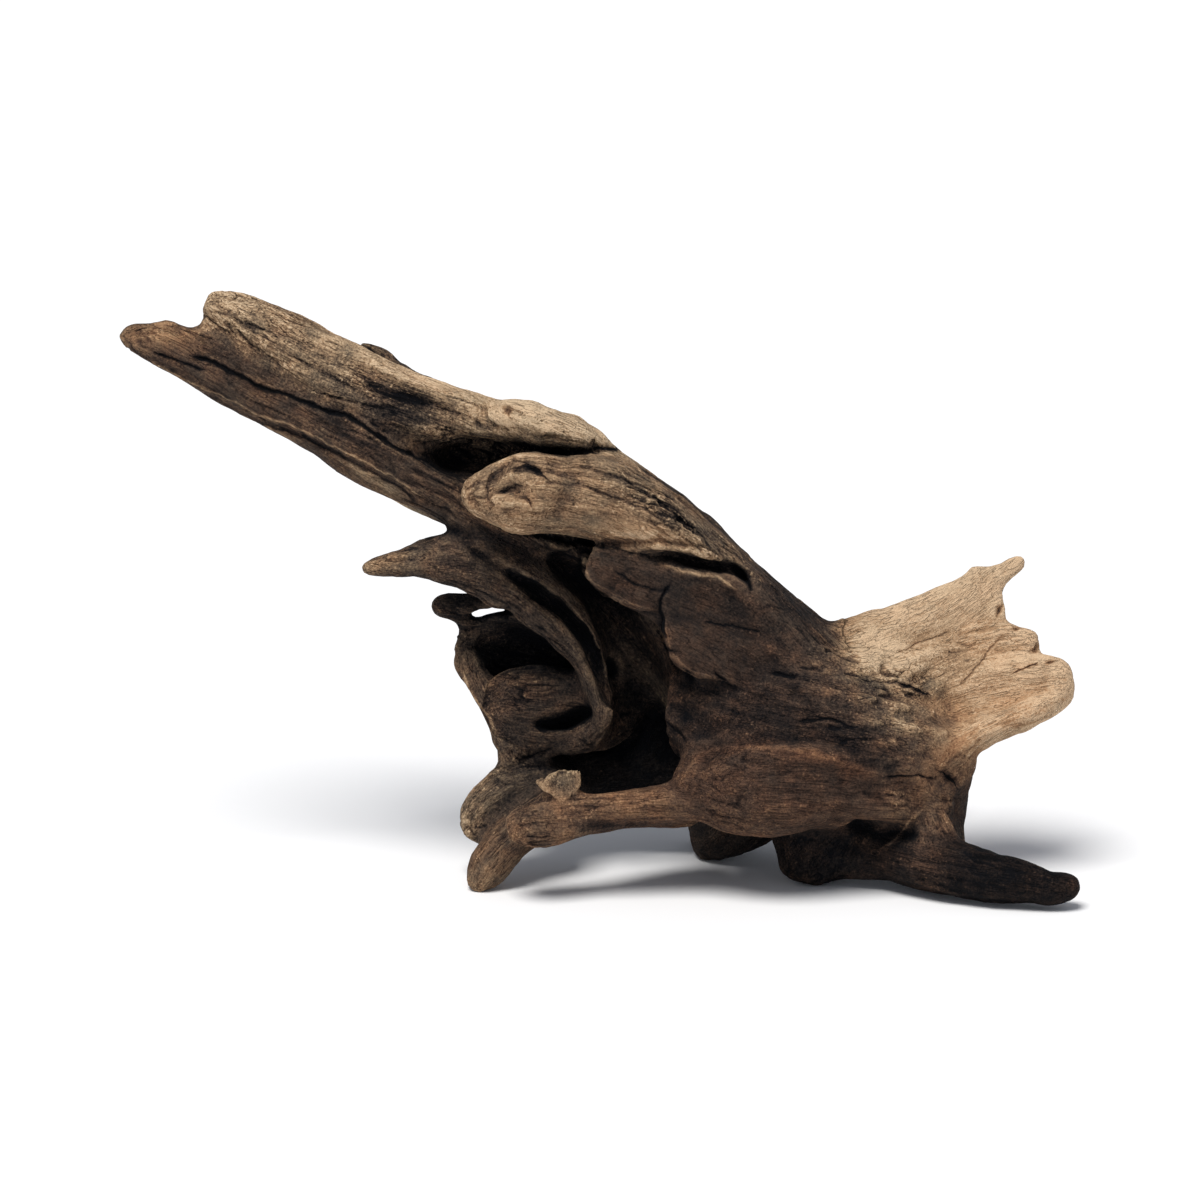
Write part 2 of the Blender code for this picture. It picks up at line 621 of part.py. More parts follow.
def centre_on_base(root):
    """Put the origin at the middle of the underside of the root's bounding box."""
    data = root.data
    points = np.empty(len(data.vertices) * 3)
    data.vertices.foreach_get("co", points)
    points = points.reshape(-1, 3)
    low = points.min(axis=0)
    high = points.max(axis=0)
    middle = (low + high) / 2
    data.transform(Matrix.Translation((-middle[0], -middle[1], -low[2])))


def simplify(root):
    """Reduce the root to about TRIANGLES triangles, most of them where it bends."""
    add_remesh(root, "even", FINAL_GRID)
    add_smooth(root, 0.5, 2)
    apply_modifiers(root)
    triangles = 2 * len(root.data.polygons)
    modifier = root.modifiers.new("simplify", "DECIMATE")
    modifier.ratio = TRIANGLES / triangles
    modifier.use_collapse_triangulate = True
    apply_modifiers(root)


def wood_material():
    """Return the bare wood material."""
    material = bpy.data.materials.new("weathered_wood")
    material.use_nodes = True
    surface = material.node_tree.nodes["Principled BSDF"]
    surface.inputs["Base Color"].default_value = WOOD_COLOUR
    surface.inputs["Roughness"].default_value = WOOD_ROUGHNESS
    surface.inputs["Metallic"].default_value = 0.0
    return material


def clear_scene():
    """Remove every object from the scene."""
    for old in list(bpy.data.objects):
        bpy.data.objects.remove(old)


def main():
    """Build the root."""
    clear_scene()
    root = fuse_limbs()
    cut_hollows(root)
    weather_surface(root)
    carve_front(root)
    simplify(root)
    keep_largest_body(root)
    stand_up(root)
    cut_feet(root)
    centre_on_base(root)
    root.data.materials.clear()
    root.data.materials.append(wood_material())
    root.data.shade_smooth()


main()
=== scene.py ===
"""Looks of a spiderwood root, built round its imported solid.

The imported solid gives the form. A fine skin grows from it with a loose flake and lifted scales,
is carved with the cracks, ledges and pits that the wood shows, is weathered along its grain by
Geometry Nodes, and gets a procedural finish. A pale floor and a soft light follow.

Three terms hold throughout. The drawing frame is (across, back, up) in millimetres, as a viewer
sees the root in front of them. A guide is a line inside a limb that its grain follows. A stroke
is a line of (across, up) points in the plane through the root's middle, as the viewer sees it
on the skin.
"""
import logging
import math
import random
from dataclasses import dataclass, field, fields
from enum import Enum
from typing import ClassVar

import bmesh
import bpy
import numpy as np
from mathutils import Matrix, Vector, noise
from mathutils.bvhtree import BVHTree


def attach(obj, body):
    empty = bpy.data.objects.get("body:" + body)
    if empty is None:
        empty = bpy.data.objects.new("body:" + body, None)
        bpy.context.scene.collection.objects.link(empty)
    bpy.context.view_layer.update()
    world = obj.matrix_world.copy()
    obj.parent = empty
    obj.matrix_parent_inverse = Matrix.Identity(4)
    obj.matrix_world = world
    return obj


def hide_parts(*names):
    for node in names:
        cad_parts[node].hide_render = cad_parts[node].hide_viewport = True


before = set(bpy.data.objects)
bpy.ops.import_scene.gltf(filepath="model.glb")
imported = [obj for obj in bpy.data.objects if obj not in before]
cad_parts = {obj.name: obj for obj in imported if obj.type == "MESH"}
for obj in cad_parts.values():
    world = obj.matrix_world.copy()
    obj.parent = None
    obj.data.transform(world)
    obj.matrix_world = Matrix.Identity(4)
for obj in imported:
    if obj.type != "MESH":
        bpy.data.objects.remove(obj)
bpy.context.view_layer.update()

NODE = "spiderwood_root"
MM = 0.001
GRAIN_CHANNELS = ("grain_a", "grain_b", "grain_c")
LOG = logging.getLogger("spiderwood_root")


@dataclass(frozen=True)
class Layout:
    """The drawing frame's place in the world, and the viewer's place in the drawing frame.

    Attributes:
        lean_deg: how far the drawing leans back from upright.
        shift: the drawing frame's origin in the world, in millimetres.
        view_distance: from the viewer's eye to the plane through the root's middle.
        view_height: the height of the viewer's eye in the drawing frame.
    """

    lean_deg: float = 15.0
    shift: tuple[float, float, float] = (0.937, -21.781, -8.4)
    view_distance: float = 2222.0
    view_height: float = 102.7

    def axes(self) -> np.ndarray:
        """Work out how the drawing frame is turned.

        Returns:
            The matrix that turns drawing directions into world directions.
        """
        lean = math.radians(self.lean_deg)
        cosine, sine = math.cos(lean), math.sin(lean)
        return np.array([[1.0, 0.0, 0.0], [0.0, cosine, sine], [0.0, -sine, cosine]])

    def to_world(self, points: np.ndarray) -> np.ndarray:
        """Return drawing points, in millimetres, as world points, in metres."""
        return (points @ self.axes().T + np.array(self.shift)) * MM

    def to_drawing(self, points: np.ndarray) -> np.ndarray:
        """Return world points, in metres, as drawing points, in millimetres."""
        return (points / MM - np.array(self.shift)) @ self.axes()

    def as_seen(self, points: np.ndarray) -> np.ndarray:
        """Project drawing points onto the plane through the root's middle.

        Args:
            points: drawing points, one a row.

        Returns:
            Their (across, up) places as the viewer sees them.
        """
        share = self.view_distance / (self.view_distance + points[:, 1])
        across = points[:, 0] * share
        up = self.view_height + (points[:, 2] - self.view_height) * share
        return np.column_stack([across, up])

    def eye(self) -> np.ndarray:
        """Return the viewer's eye in the drawing frame."""
        return np.array([0.0, -self.view_distance, self.view_height])


@dataclass(frozen=True)
class Guide:
    """A line inside a limb that its grain follows, and the look of the wood round it.

    Attributes:
        path: (across, back, up, reach) stations, where reach is the limb's mean radius.
        light: how bleached the wood is, from 0 for black to 1 for cream; in the hollows, the spur and the feet it is
            lowered as painted shade, and on the inner rib raised as painted light.
        red: its hue, from -1 for grey olive to 1 for orange.
        rough: how deeply it is weathered.
    """

    path: tuple[tuple[float, float, float, float], ...]
    light: float
    red: float
    rough: float


GUIDES: dict[str, Guide] = {
    "lower_beam": Guide(((18.5, 6, 81, 11), (-13.5, 2, 116, 11), (-53.5, -7, 139.5, 10), (-83.5, -8, 154.5, 10),
        (-110, -6, 168.5, 9.5), (-142.5, -4, 187, 8), (-157, -3, 191, 4)), 0.30, 0.2, 0.35),
    "under_blade": Guide(((-38, 3, 122, 3), (-83.5, 3, 149, 3.5), (-133, 0, 176, 2)), 0.74, -0.3, 0.5),
    "upper_beam": Guide(((3.5, -6, 136, 14), (-43.5, -9, 161.5, 11), (-90, -6, 179, 12), (-126, -3, 198.5, 7)),
        0.67, 0.15, 1.0),
    "crest": Guide(((15, -2, 144.5, 3.5), (-9, -16, 156.5, 9), (-46.5, -12, 170.5, 5), (-89.5, -10, 187.5, 2)),
        1.00, 0.05, 0.6),
    "back_crest": Guide(((-20, 8, 156, 8), (-60, 11, 175, 5), (-80, 9, 188, 3)), 0.30, -0.1, 0.8),
    "trunk": Guide(((-20, 2, 154, 10), (6.5, 2, 138, 16), (46.5, 2, 99, 21), (86.5, 2, 56, 22), (105, 2, 37.5, 16)),
        0.17, 0.0, 0.6),
    "striated_ridge": Guide(((57.5, 0, 95.5, 9), (18.5, -17, 127.5, 14.5), (-13.5, -26, 138, 15),
        (-40.5, -28, 137.5, 7)), 0.63, 0.2, 0.55),
    "plate_upper": Guide(((60, -5, 86, 12), (36.5, -18, 97.5, 10), (5, -28, 112, 6.5), (-1.5, -29, 114.5, 4.5)),
        0.22, 0.25, 0.15),
    "plate_lower": Guide(((73.5, -8, 64.5, 13), (36.5, -23, 84.5, 9), (25, -25, 91.5, 4.5)), 0.27, 0.35, 0.15),
    "front_wall": Guide(((108.5, 0, 52, 17), (63.5, -9, 61.5, 24), (34, -6, 69.5, 16)), 0.16, 0.3, 0.4),
    "belly": Guide(((110, -6, 36, 10), (73.5, -18, 40, 15), (41.5, -23, 41.5, 15), (34, -22, 42.5, 10),
        (22, -19, 42, 5)), 0.31, 0.5, 0.25),
    "rail": Guide(((53.5, -20, 35.5, 8), (16, -22, 35, 7), (-11, -25, 33.5, 5)), 0.46, 0.7, 0.5),
    "chip": Guide(((-13.5, -24, 34, 3), (-12, -27, 43.5, 3)), 0.60, -0.1, 0.6),
    "left_lobe": Guide(((30, -4, 32, 6), (-1.5, -20, 30, 6), (-26, -25, 28, 7)), 0.36, 0.4, 0.5),
    "rear_lobe": Guide(((-8.5, 16, 41, 7), (-30, 7, 38.5, 8), (-43.5, 3, 27.5, 5.5)), 0.50, -0.15, 0.6),
    # Painted shade: the deep hollow's back and floor are coloured near black for the shade that falls in them.
    "hollow_back": Guide(((50, 22, 92, 11), (26, 25, 58, 11), (14, 24, 46, 10)), 0.06, -0.5, 0.2),
    "hollow_floor": Guide(((46.5, 20, 42.5, 13), (-23.5, 8, 36, 7)), 0.06, -0.5, 0.2),
    "rib": Guide(((-10, 3, 53.5, 5), (1, -2, 62, 6), (-4, -5, 84.5, 7), (-35, -7, 111.5, 9),
        (-77.5, -8, 113.5, 3.5)), 0.28, 0.0, 0.45),
    "rib_root": Guide(((0, 8, 89.5, 8), (-44, -4, 123.5, 5)), 0.14, 0.0, 0.3),
    # Partly its own colour and partly painted light: the inner rib is coloured paler to offset the shade it lies in.
    "inner_rib": Guide(((33.5, 12, 62.5, 7), (5, 9, 89.5, 5.5), (-20, 0, 111, 5)), 0.75, -0.5, 0.4),
    "stub": Guide(((-13.5, 15, 95.5, 6), (-52, 12, 100.5, 5.5)), 0.12, -0.1, 0.5),
    "scoop_upper": Guide(((8.5, 18, 71.5, 11), (-42.5, 19, 84, 6)), 0.18, -0.4, 0.5),
    "scoop_rim": Guide(((-33, 17, 94, 4), (-45, 15, 87, 4.5), (-38, 11, 70, 4.5), (-31, 8, 50, 4)), 0.40, 0.2, 0.7),
    "scoop_lower": Guide(((6.5, 8, 64, 10.5), (-8, 5, 65, 10.5), (-30, 6, 66.5, 9)), 0.28, 0.2, 0.5),
    "fan_top": Guide(((73.5, 0, 78, 15), (108.5, 5, 93, 9), (141, 9, 116, 3.5)), 0.94, 0.55, 0.1),
    "fan_mid": Guide(((83.5, 0, 69.5, 14), (125, 7, 84.5, 8), (145, 5, 88, 5)), 0.93, 0.8, 0.12),
    "fan_low": Guide(((90, -2, 61, 14), (130, 1, 72.5, 9), (155, 0, 75, 6)), 0.95, 0.85, 0.12),
    "fan_neck": Guide(((74, -4, 66, 23), (90, -4, 67.5, 19.5), (102, -1, 71.5, 15), (124, 6, 81, 9)),
        0.74, 0.2, 1.0),
    "fan_rim": Guide(((96.5, -6, 41, 14), (125, -8, 58, 7), (150.5, -4, 68, 4)), 0.90, 0.7, 0.35),
    "leg": Guide(((96.5, 4, 49.5, 18), (112, 2, 25.5, 11), (115, -2, 16, 9)), 0.24, 0.1, 0.6),
    # Painted shade: the spur is coloured black for the shadow that the fan above casts on it.
    "spur": Guide(((90, -2, 21, 9), (125, -24, 12.5, 9.5), (153, -30, 8.5, 6)), 0.00, 0.3, 0.3),
    "wedge": Guide(((107.5, -10, 34.5, 5), (113.5, -17, 16.5, 6)), 0.66, 0.4, 0.6),
    # Painted shade: the low feet are coloured dark for the shade under the root, which the pale floor would otherwise
    # light.
    "mid_foot": Guide(((83.5, 2, 39.5, 17), (71.5, -2, 19, 14), (70, -3, 15, 10)), 0.06, 0.1, 0.3),
    "back_foot": Guide(((56.5, 10, 39.5, 13), (39.5, 24, 24, 10), (38, 27, 21, 8)), 0.18, 0.0, 0.3),
    "heel": Guide(((52, 22, 44, 12), (38, 40, 26.5, 7.5), (36, 43, 24, 6)), 0.14, 0.0, 0.5),
    "left_foot": Guide(((-13.5, 2, 35, 7.5), (-33, -7, 19.5, 7.3), (-39.5, -8, 10.5, 6)), 0.43, 0.27, 0.4),
    "back_shoulder": Guide(((30, 16, 116, 12), (63.5, 26, 64.5, 14), (66.5, 24, 42.5, 12)), 0.42, 0.0, 0.9),
    "back_ridge": Guide(((74, 26, 44, 6), (52, 37, 84, 6), (12, 24, 128, 6), (-38, 11, 157, 4)), 0.50, 0.0, 0.9),
    "back_root": Guide(((66.5, 20, 69.5, 11), (95, 47, 76, 6.5), (101, 53, 80, 5)), 0.50, 0.1, 0.8),
    "back_left": Guide(((16.5, 16, 96, 11), (-3.5, 33, 67.5, 8), (-9.5, 36, 54.5, 6)), 0.40, 0.0, 0.9),
}


class Kind(Enum):
    """What a stroke does to the skin."""

    CRACK = "a narrow groove"
    LEDGE = "a step, proud on the left of the line's direction"
    RIDGE = "a narrow raised line"
    PIT = "a round hollow at each point"
    # Colour alone: real stains, and also painted shade and painted light, where a shaded or lit look is laid into the
    # wood's colour.
    STAIN = "colour alone"


@dataclass(frozen=True)
class Stroke:
    """A line drawn on the skin that faces the viewer.

    Attributes:
        kind: what it does to the skin.
        line: its (across, up) points, as the viewer sees them.
        width: how far it reaches to each side.
        height: how far it is raised or pressed.
        light: how much it brightens the wood, or darkens it if negative.
        red: how much it shifts the wood's hue.
        rough: how much more deeply the wood is weathered there.
    """

    kind: Kind
    line: tuple[tuple[float, float], ...]
    width: float = 1.0
    height: float = 1.5
    light: float = 0.0
    red: float = 0.0
    rough: float = 0.0


STROKES: dict[str, Stroke] = {
    "beam_groove": Stroke(Kind.CRACK, ((-136, 184.3), (-126, 180.7), (-115, 174.7), (-105, 171.3), (-94.7, 167),
        (-85, 164.3), (-76.3, 159), (-68, 153.7), (-60, 150)), 0.7, 1.3, -0.45),
    "beam_split": Stroke(Kind.CRACK, ((-149, 185.3), (-139.3, 181.7), (-131.3, 179.3)), 0.5, 0.6, -0.3),
    "beam_sliver": Stroke(Kind.RIDGE, ((-150.3, 182.3), (-134.7, 174.7), (-123, 169), (-112.3, 164),
        (-101.3, 160.3), (-90.3, 155), (-78.3, 148.7), (-68, 143.3), (-60, 137)), 0.6, 0.5, 0.18),
    "beam_under": Stroke(Kind.CRACK, ((-134.7, 172.4), (-123, 166.7), (-112.3, 161.7), (-101.3, 158),
        (-90.3, 152.7), (-78.3, 146.4), (-68, 141), (-60, 134)), 0.6, 0.5, -0.1),
    "blade_pale": Stroke(Kind.STAIN, ((-134.7, 171), (-121.7, 164.5), (-108.3, 158.5), (-98, 154)), 2.2, 0.0, 0.28),
    "blade_olive": Stroke(Kind.STAIN, ((-90, 151), (-73, 142), (-60, 135)), 2.6, 0.0, 0.36, -0.2),
    "tip_hole": Stroke(Kind.CRACK, ((-154.8, 193), (-151.6, 193.6)), 1.0, 1.6, -0.5),
    "tip_rim": Stroke(Kind.STAIN, ((-158.7, 191), (-150, 194), (-134, 194.3)), 5.0, 0.0, 0.42, 0.5),
    "tip_tan": Stroke(Kind.STAIN, ((-176, 186), (-152, 189.5), (-140, 190.5), (-118, 196)), 5.0, 0.0, 0.2, 0.25),
    "beam_tip_pale": Stroke(Kind.STAIN, ((-131.3, 202.7), (-121.7, 204.7), (-109.7, 201)),
        4.5, 0.0, 0.55, 0.0, 0.3),
    "beam_tip_dark": Stroke(Kind.STAIN, ((-126, 197.3), (-114.3, 196.7)), 3.0, 0.0, 0.08, -0.3),
    "beam_flecks": Stroke(Kind.STAIN, ((-92, 179.5), (-80, 178)), 3.2, 0.0, 0.22, 0.1, 0.6),
    "crest_pale": Stroke(Kind.STAIN, ((-82.3, 183.3), (-71.7, 179.7), (-60, 175.7), (-48.3, 171)),
        3.0, 0.0, 0.12, 0.1),
    "crest_fold": Stroke(Kind.CRACK, ((-83.7, 180), (-71.3, 172), (-60, 169.3), (-50, 168)), 2.2, 0.9, -0.12),
    "crest_shade": Stroke(Kind.STAIN, ((-86, 173), (-68, 166.5), (-50, 160)), 8.5, 0.0, -1.0, -0.8),
    # Painted light: the cavity under the crest is coloured paler to lift the shade that falls in it.
    "cavity_painted_light": Stroke(Kind.STAIN, ((-76, 158), (-66, 155), (-55, 152)), 4.5, 0.0, 0.4, 0.1),
    "hood_edge": Stroke(Kind.LEDGE, ((-36.3, 169.3), (-37.7, 165.3), (-34.3, 161), (-30, 158.7)), 1.6, 1.3),
    "hood_pit": Stroke(Kind.PIT, ((-30.7, 166),), 1.5, 1.6, -0.25, 0.3),
    "hood_rust": Stroke(Kind.STAIN, ((-33, 166), (-30, 163)), 4.5, 0.0, 0.1, 1.6),
    "hood_crack": Stroke(Kind.CRACK, ((-31, 155.5), (-19, 152.8), (-10.5, 151.7), (0.5, 153.4), (9.3, 152.3)),
        0.9, 2.0, -0.5),
    "hood_branch": Stroke(Kind.CRACK, ((-3.3, 153), (-1.3, 157.3)), 0.6, 1.2, -0.3),
    "knob_gash": Stroke(Kind.CRACK, ((-30, 146.5), (-25, 147), (-20.5, 145.5), (-16.5, 142.5)), 1.5, 2.2, -0.3),
    "knob_hollow": Stroke(Kind.CRACK, ((-30.5, 148), (-34.5, 145), (-37, 141), (-37.5, 137)), 1.8, 2.2, -0.16),
    "knob_lumps": Stroke(Kind.STAIN, ((-37, 138), (-28, 135), (-19, 139)), 8.0, 0.0, 0.42, 1.3, -0.4),
    "knob_bulge": Stroke(Kind.RIDGE, ((-39, 134), (-33, 131.5)), 5.0, 2.4),
    "knob_bulge_low": Stroke(Kind.RIDGE, ((-22, 131), (-17, 134)), 4.5, 2.4),
    "knob_fold": Stroke(Kind.RIDGE, ((-28, 142), (-20, 140.5)), 2.0, 1.4, 0.08),
    "knob_lump_a": Stroke(Kind.RIDGE, ((-42, 141), (-40, 137)), 3.0, 1.6),
    "knob_lump_b": Stroke(Kind.RIDGE, ((-31, 134), (-26, 135.5)), 3.0, 1.6),
    "knob_wrinkle": Stroke(Kind.CRACK, ((-36, 140), (-32.5, 138.5), (-29.5, 140.5)), 0.7, 0.8, -0.14),
    "knob_wrinkle_low": Stroke(Kind.CRACK, ((-27, 137.5), (-23.5, 136), (-22.5, 132.5)), 0.6, 0.7, -0.12),
    "knob_rim": Stroke(Kind.RIDGE, ((-45, 139), (-43.3, 134.3), (-37.7, 129.3), (-30.7, 126.3), (-20, 124)),
        1.6, 0.6, 0.1, 0.4),
    "knob_brow": Stroke(Kind.RIDGE, ((-36.7, 146.7), (-30.7, 151), (-19.3, 151), (-13, 149.7)),
        1.2, 0.5, 0.12, 0.3),
    "knob_crease": Stroke(Kind.CRACK, ((-12.5, 149), (-10.5, 140), (-12.5, 133), (-9, 126)), 4.5, 2.2),
    "ridge_edge": Stroke(Kind.LEDGE, ((45, 114), (30, 120.5), (-6.7, 121), (-20, 123.7), (-28, 124.5)), 2.4, 1.4),
    "ridge_band": Stroke(Kind.STAIN, ((-6, 125), (10, 123.5), (26, 122.5), (40, 117.5)), 2.8, 0.0, 0.2, 0.3),
    "ridge_smooth": Stroke(Kind.STAIN, ((-8, 129), (10, 126.5), (26, 123)), 4.5, 0.0, 0.1, 0.35, -0.5),
    "ridge_line_a": Stroke(Kind.CRACK, ((-8, 148), (10, 142), (26, 131), (38, 120)), 0.5, 0.6, -0.1),
    "ridge_line_b": Stroke(Kind.CRACK, ((-6, 141), (12, 134), (28, 126)), 0.5, 0.6, -0.1),
    "ridge_crown": Stroke(Kind.STAIN, ((12, 141), (36, 125), (56, 108), (70, 97)), 2.6, 0.0, -0.08, -0.1, 0.3),
    "ridge_olive": Stroke(Kind.STAIN, ((4, 144), (26, 130), (46, 113)), 5.0, 0.0, -0.1, -0.35, 0.3),
    "slot_lip": Stroke(Kind.RIDGE, ((20, 114.3), (30, 111.8), (40, 109.8), (46.5, 106.3)), 0.9, 0.9, 0.14),
    "slot_notch": Stroke(Kind.CRACK, ((46, 112), (49.5, 108), (50, 105)), 0.6, 1.4, -0.4),
    "upper_plate_edge": Stroke(Kind.LEDGE, ((-5.7, 119), (-6, 112.3), (-1, 106.5), (8.5, 100.8), (19, 98)),
        1.6, 1.3),
    "upper_plate_rim": Stroke(Kind.RIDGE, ((-4.8, 118), (-4.9, 112.7), (-0.2, 107.6), (9, 102), (19, 99.3)),
        0.6, 0.3, 0.1, 0.1),
    "lower_plate_edge": Stroke(Kind.LEDGE, ((20, 98.7), (21, 90), (24, 83), (30, 77.8), (38, 75.5), (48, 73.5)),
        1.6, 1.2),
    "lower_plate_rim": Stroke(Kind.RIDGE, ((21.2, 98), (22.3, 90.6), (25, 84.1), (30.6, 79.1), (38.2, 76.8)),
        0.6, 0.3, 0.1, 0.1),
    "plate_crack": Stroke(Kind.CRACK, ((23, 108), (20, 101.7), (20.7, 96.7), (21.7, 90)), 0.5, 0.8, -0.35),
    "plate_line": Stroke(Kind.CRACK, ((5, 112), (14, 107), (22, 106)), 0.4, 0.4, -0.08),
    "wall_crack_a": Stroke(Kind.CRACK, ((35, 95.3), (44, 94), (53.3, 92)), 0.4, 0.4, -0.2),
    "wall_crack_b": Stroke(Kind.CRACK, ((20.3, 63.7), (25, 60), (29.3, 54.7)), 0.4, 0.5, -0.2),
    "wall_slot": Stroke(Kind.CRACK, ((56.7, 78.3), (66.7, 77)), 0.6, 0.8, -0.25),
    "wall_stain_a": Stroke(Kind.STAIN, ((56, 104), (70, 97)), 4.0, 0.0, -0.06, -0.3),
    "wall_stain_b": Stroke(Kind.STAIN, ((56, 72), (68, 66)), 5.0, 0.0, -0.06, -0.3),
    "trunk_shade": Stroke(Kind.STAIN, ((68, 99), (74, 88), (78, 76)), 4.5, 0.0, -0.16, -0.2),
    "neck_shade_a": Stroke(Kind.STAIN, ((82, 80), (90, 74), (84, 66)), 3.6, 0.0, -0.26, -0.6),
    "neck_shade_b": Stroke(Kind.STAIN, ((72, 60), (84, 54), (98, 50)), 4.5, 0.0, -0.26, -0.35),
    "belly_rim": Stroke(Kind.RIDGE, ((28.3, 44.3), (33.3, 50.3), (43.3, 53.3), (60, 53.3), (76.7, 50.3),
        (95.3, 43.7)), 1.7, 0.45, 0.06, 0.3),
    "plate_nick_a": Stroke(Kind.CRACK, ((20.5, 88.5), (23, 86), (26, 85.5)), 0.8, 1.2, -0.25),
    "plate_nick_b": Stroke(Kind.CRACK, ((27.5, 80), (30, 78), (31, 75)), 0.8, 1.3, -0.25),
    "plate_nick_c": Stroke(Kind.CRACK, ((38.5, 79.5), (40, 76.5), (43, 75)), 0.7, 1.2, -0.25),
    "belly_end": Stroke(Kind.STAIN, ((29.5, 47), (33, 42)), 2.5, 0.0, 0.2, 0.5),
    "belly_rust": Stroke(Kind.STAIN, ((60, 52), (78, 48), (94, 42)), 2.5, 0.0, 0.08, 0.5),
    "belly_crack": Stroke(Kind.CRACK, ((95.3, 43.7), (103, 44.3), (111.7, 43)), 0.4, 0.6, -0.25),
    "rail_rust": Stroke(Kind.STAIN, ((1, 37.5), (7, 36.5)), 2.2, 0.0, 0.4, 1.2),
    "rail_end": Stroke(Kind.STAIN, ((-16.5, 37.5), (-14, 33)), 2.2, 0.0, 0.5, 1.6),
    "rail_shade": Stroke(Kind.STAIN, ((-8, 27.5), (10, 27), (26, 26.5)), 2.0, 0.0, -0.28),
    "scoop_slot": Stroke(Kind.CRACK, ((-22, 60.5), (-14, 60.5), (-6, 63.5)), 1.3, 1.3, -0.3),
    # Painted light: the filled gap in the scoop is coloured paler to lift the shade in it.
    "scoop_gap_painted_light": Stroke(Kind.STAIN, ((-43, 80), (-37, 75.5), (-31, 76)), 3.6, 0.0, 0.12, 0.1),
    # Painted shade: the scoop's recess is darkened for the shade that falls in it.
    "scoop_recess_painted_shade": Stroke(Kind.STAIN, ((-42, 93), (-36, 91), (-27, 88), (-20, 84)), 5.0, 0.0, -0.1, -0.2),
    "scoop_edge": Stroke(Kind.RIDGE, ((-45.5, 79.5), (-43.8, 72), (-37.5, 64), (-33.5, 56)), 1.0, 0.4, 0.2, 0.1),
    "scoop_corner": Stroke(Kind.STAIN, ((-33.5, 54), (-31.5, 47)), 2.2, 0.0, 0.25, 0.2),
    "rib_tip": Stroke(Kind.STAIN, ((-96, 110.5), (-77.5, 113.5), (-66, 116), (-46, 119)), 4.5, 0.0, 0.3, 0.3, 0.3),
    "rib_groove_tone": Stroke(Kind.STAIN, ((-41, 118), (-24, 108), (-9, 95), (-2, 82)), 3.0, 0.0, 0.08),
    "rib_bend": Stroke(Kind.STAIN, ((1, 72), (3, 63), (0, 56)), 4.0, 0.0, 0.08, 0.3),
    "lobe_rim": Stroke(Kind.STAIN, ((-29, 34), (-29.5, 28), (-27, 22)), 2.0, 0.0, 0.25, 0.4),
    "lobe_top": Stroke(Kind.STAIN, ((-22, 35), (-17, 32)), 3.0, 0.0, 0.02, -0.5),
    "rear_lobe_rim": Stroke(Kind.STAIN, ((-46, 36), (-46, 28), (-43, 22)), 1.8, 0.0, 0.22),
    "rear_lobe_shade": Stroke(Kind.STAIN, ((-38, 38), (-30, 31)), 5.0, 0.0, -0.14),
    "foot_tip": Stroke(Kind.STAIN, ((-47, 20), (-41, 13), (-35, 7), (-29, 0)), 4.5, 0.0, 0.14, 0.15),
    "foot_shade": Stroke(Kind.STAIN, ((-32, 23), (-24, 19)), 4.0, 0.0, -0.3),
    "fan_line_a": Stroke(Kind.CRACK, ((90.7, 81.3), (98, 84.7), (109, 89.3), (117, 92)), 0.3, 0.3, -0.12),
    "fan_line_b": Stroke(Kind.CRACK, ((120, 74.3), (125.3, 80.3), (133.3, 90)), 0.3, 0.3, -0.1),
    "fan_line_c": Stroke(Kind.CRACK, ((137, 78.3), (146.3, 82)), 0.35, 0.3, -0.3),
    "fan_tear": Stroke(Kind.CRACK, ((98, 75.7), (104, 73.5), (110.3, 71)), 0.7, 1.0, -0.4),
    "fan_nick_a": Stroke(Kind.CRACK, ((135.5, 102.5), (132.5, 98.7), (131.5, 96)), 0.9, 1.8, -0.12),
    "fan_nick_b": Stroke(Kind.CRACK, ((141.5, 93.8), (136.5, 92.3)), 0.9, 1.8, -0.12),
    "fan_nick_c": Stroke(Kind.CRACK, ((149, 90.5), (145.3, 86.7), (143, 86)), 0.9, 1.8, -0.12),
    "fan_nick_d": Stroke(Kind.CRACK, ((153, 82.6), (148, 81.3)), 0.8, 1.6, -0.12),
    "fan_left": Stroke(Kind.STAIN, ((77, 93), (84, 88), (95, 83), (108, 80)), 5.5, 0.0, 0.88, 0.2, -0.2),
    "fan_under": Stroke(Kind.STAIN, ((105, 58), (116, 56), (127, 61)), 6.5, 0.0, 0.45, 0.3),
    "fan_stain": Stroke(Kind.STAIN, ((101, 77), (109, 74.5), (117.5, 72)), 3.2, 0.0, -0.28, -0.6),
    "fan_rust": Stroke(Kind.STAIN, ((113.3, 46), (120, 55), (130, 60.5), (140, 64), (150, 66.7)),
        2.4, 0.0, -0.1, 0.9),
    "neck_scales": Stroke(Kind.STAIN, ((90, 64), (100, 61), (110, 57.5)), 5.0, 0.0, 0.6, -0.5, 1.0),
    "neck_crack": Stroke(Kind.CRACK, ((66, 62), (76, 63), (86, 60)), 0.5, 0.5, -0.2),
    "leg_flecks": Stroke(Kind.STAIN, ((95.5, 40.5), (101, 35), (102, 30)), 3.0, 0.0, 0.22, 0.1, 0.8),
    "pit_under_fan": Stroke(Kind.CRACK, ((112.5, 46), (116.5, 43.5), (119, 40)), 1.4, 2.0, -0.4),
    "wedge_edge": Stroke(Kind.RIDGE, ((108, 33.5), (101, 26), (93, 19)), 0.9, 0.6, 0.1),
    "wedge_tone": Stroke(Kind.STAIN, ((100, 26), (105, 19), (112, 10)), 6.0, 0.0, 0.32, 0.2, 0.3),
    "heel_tone": Stroke(Kind.STAIN, ((93, 14), (97, 13)), 4.0, 0.0, 0.2, 0.1),
}


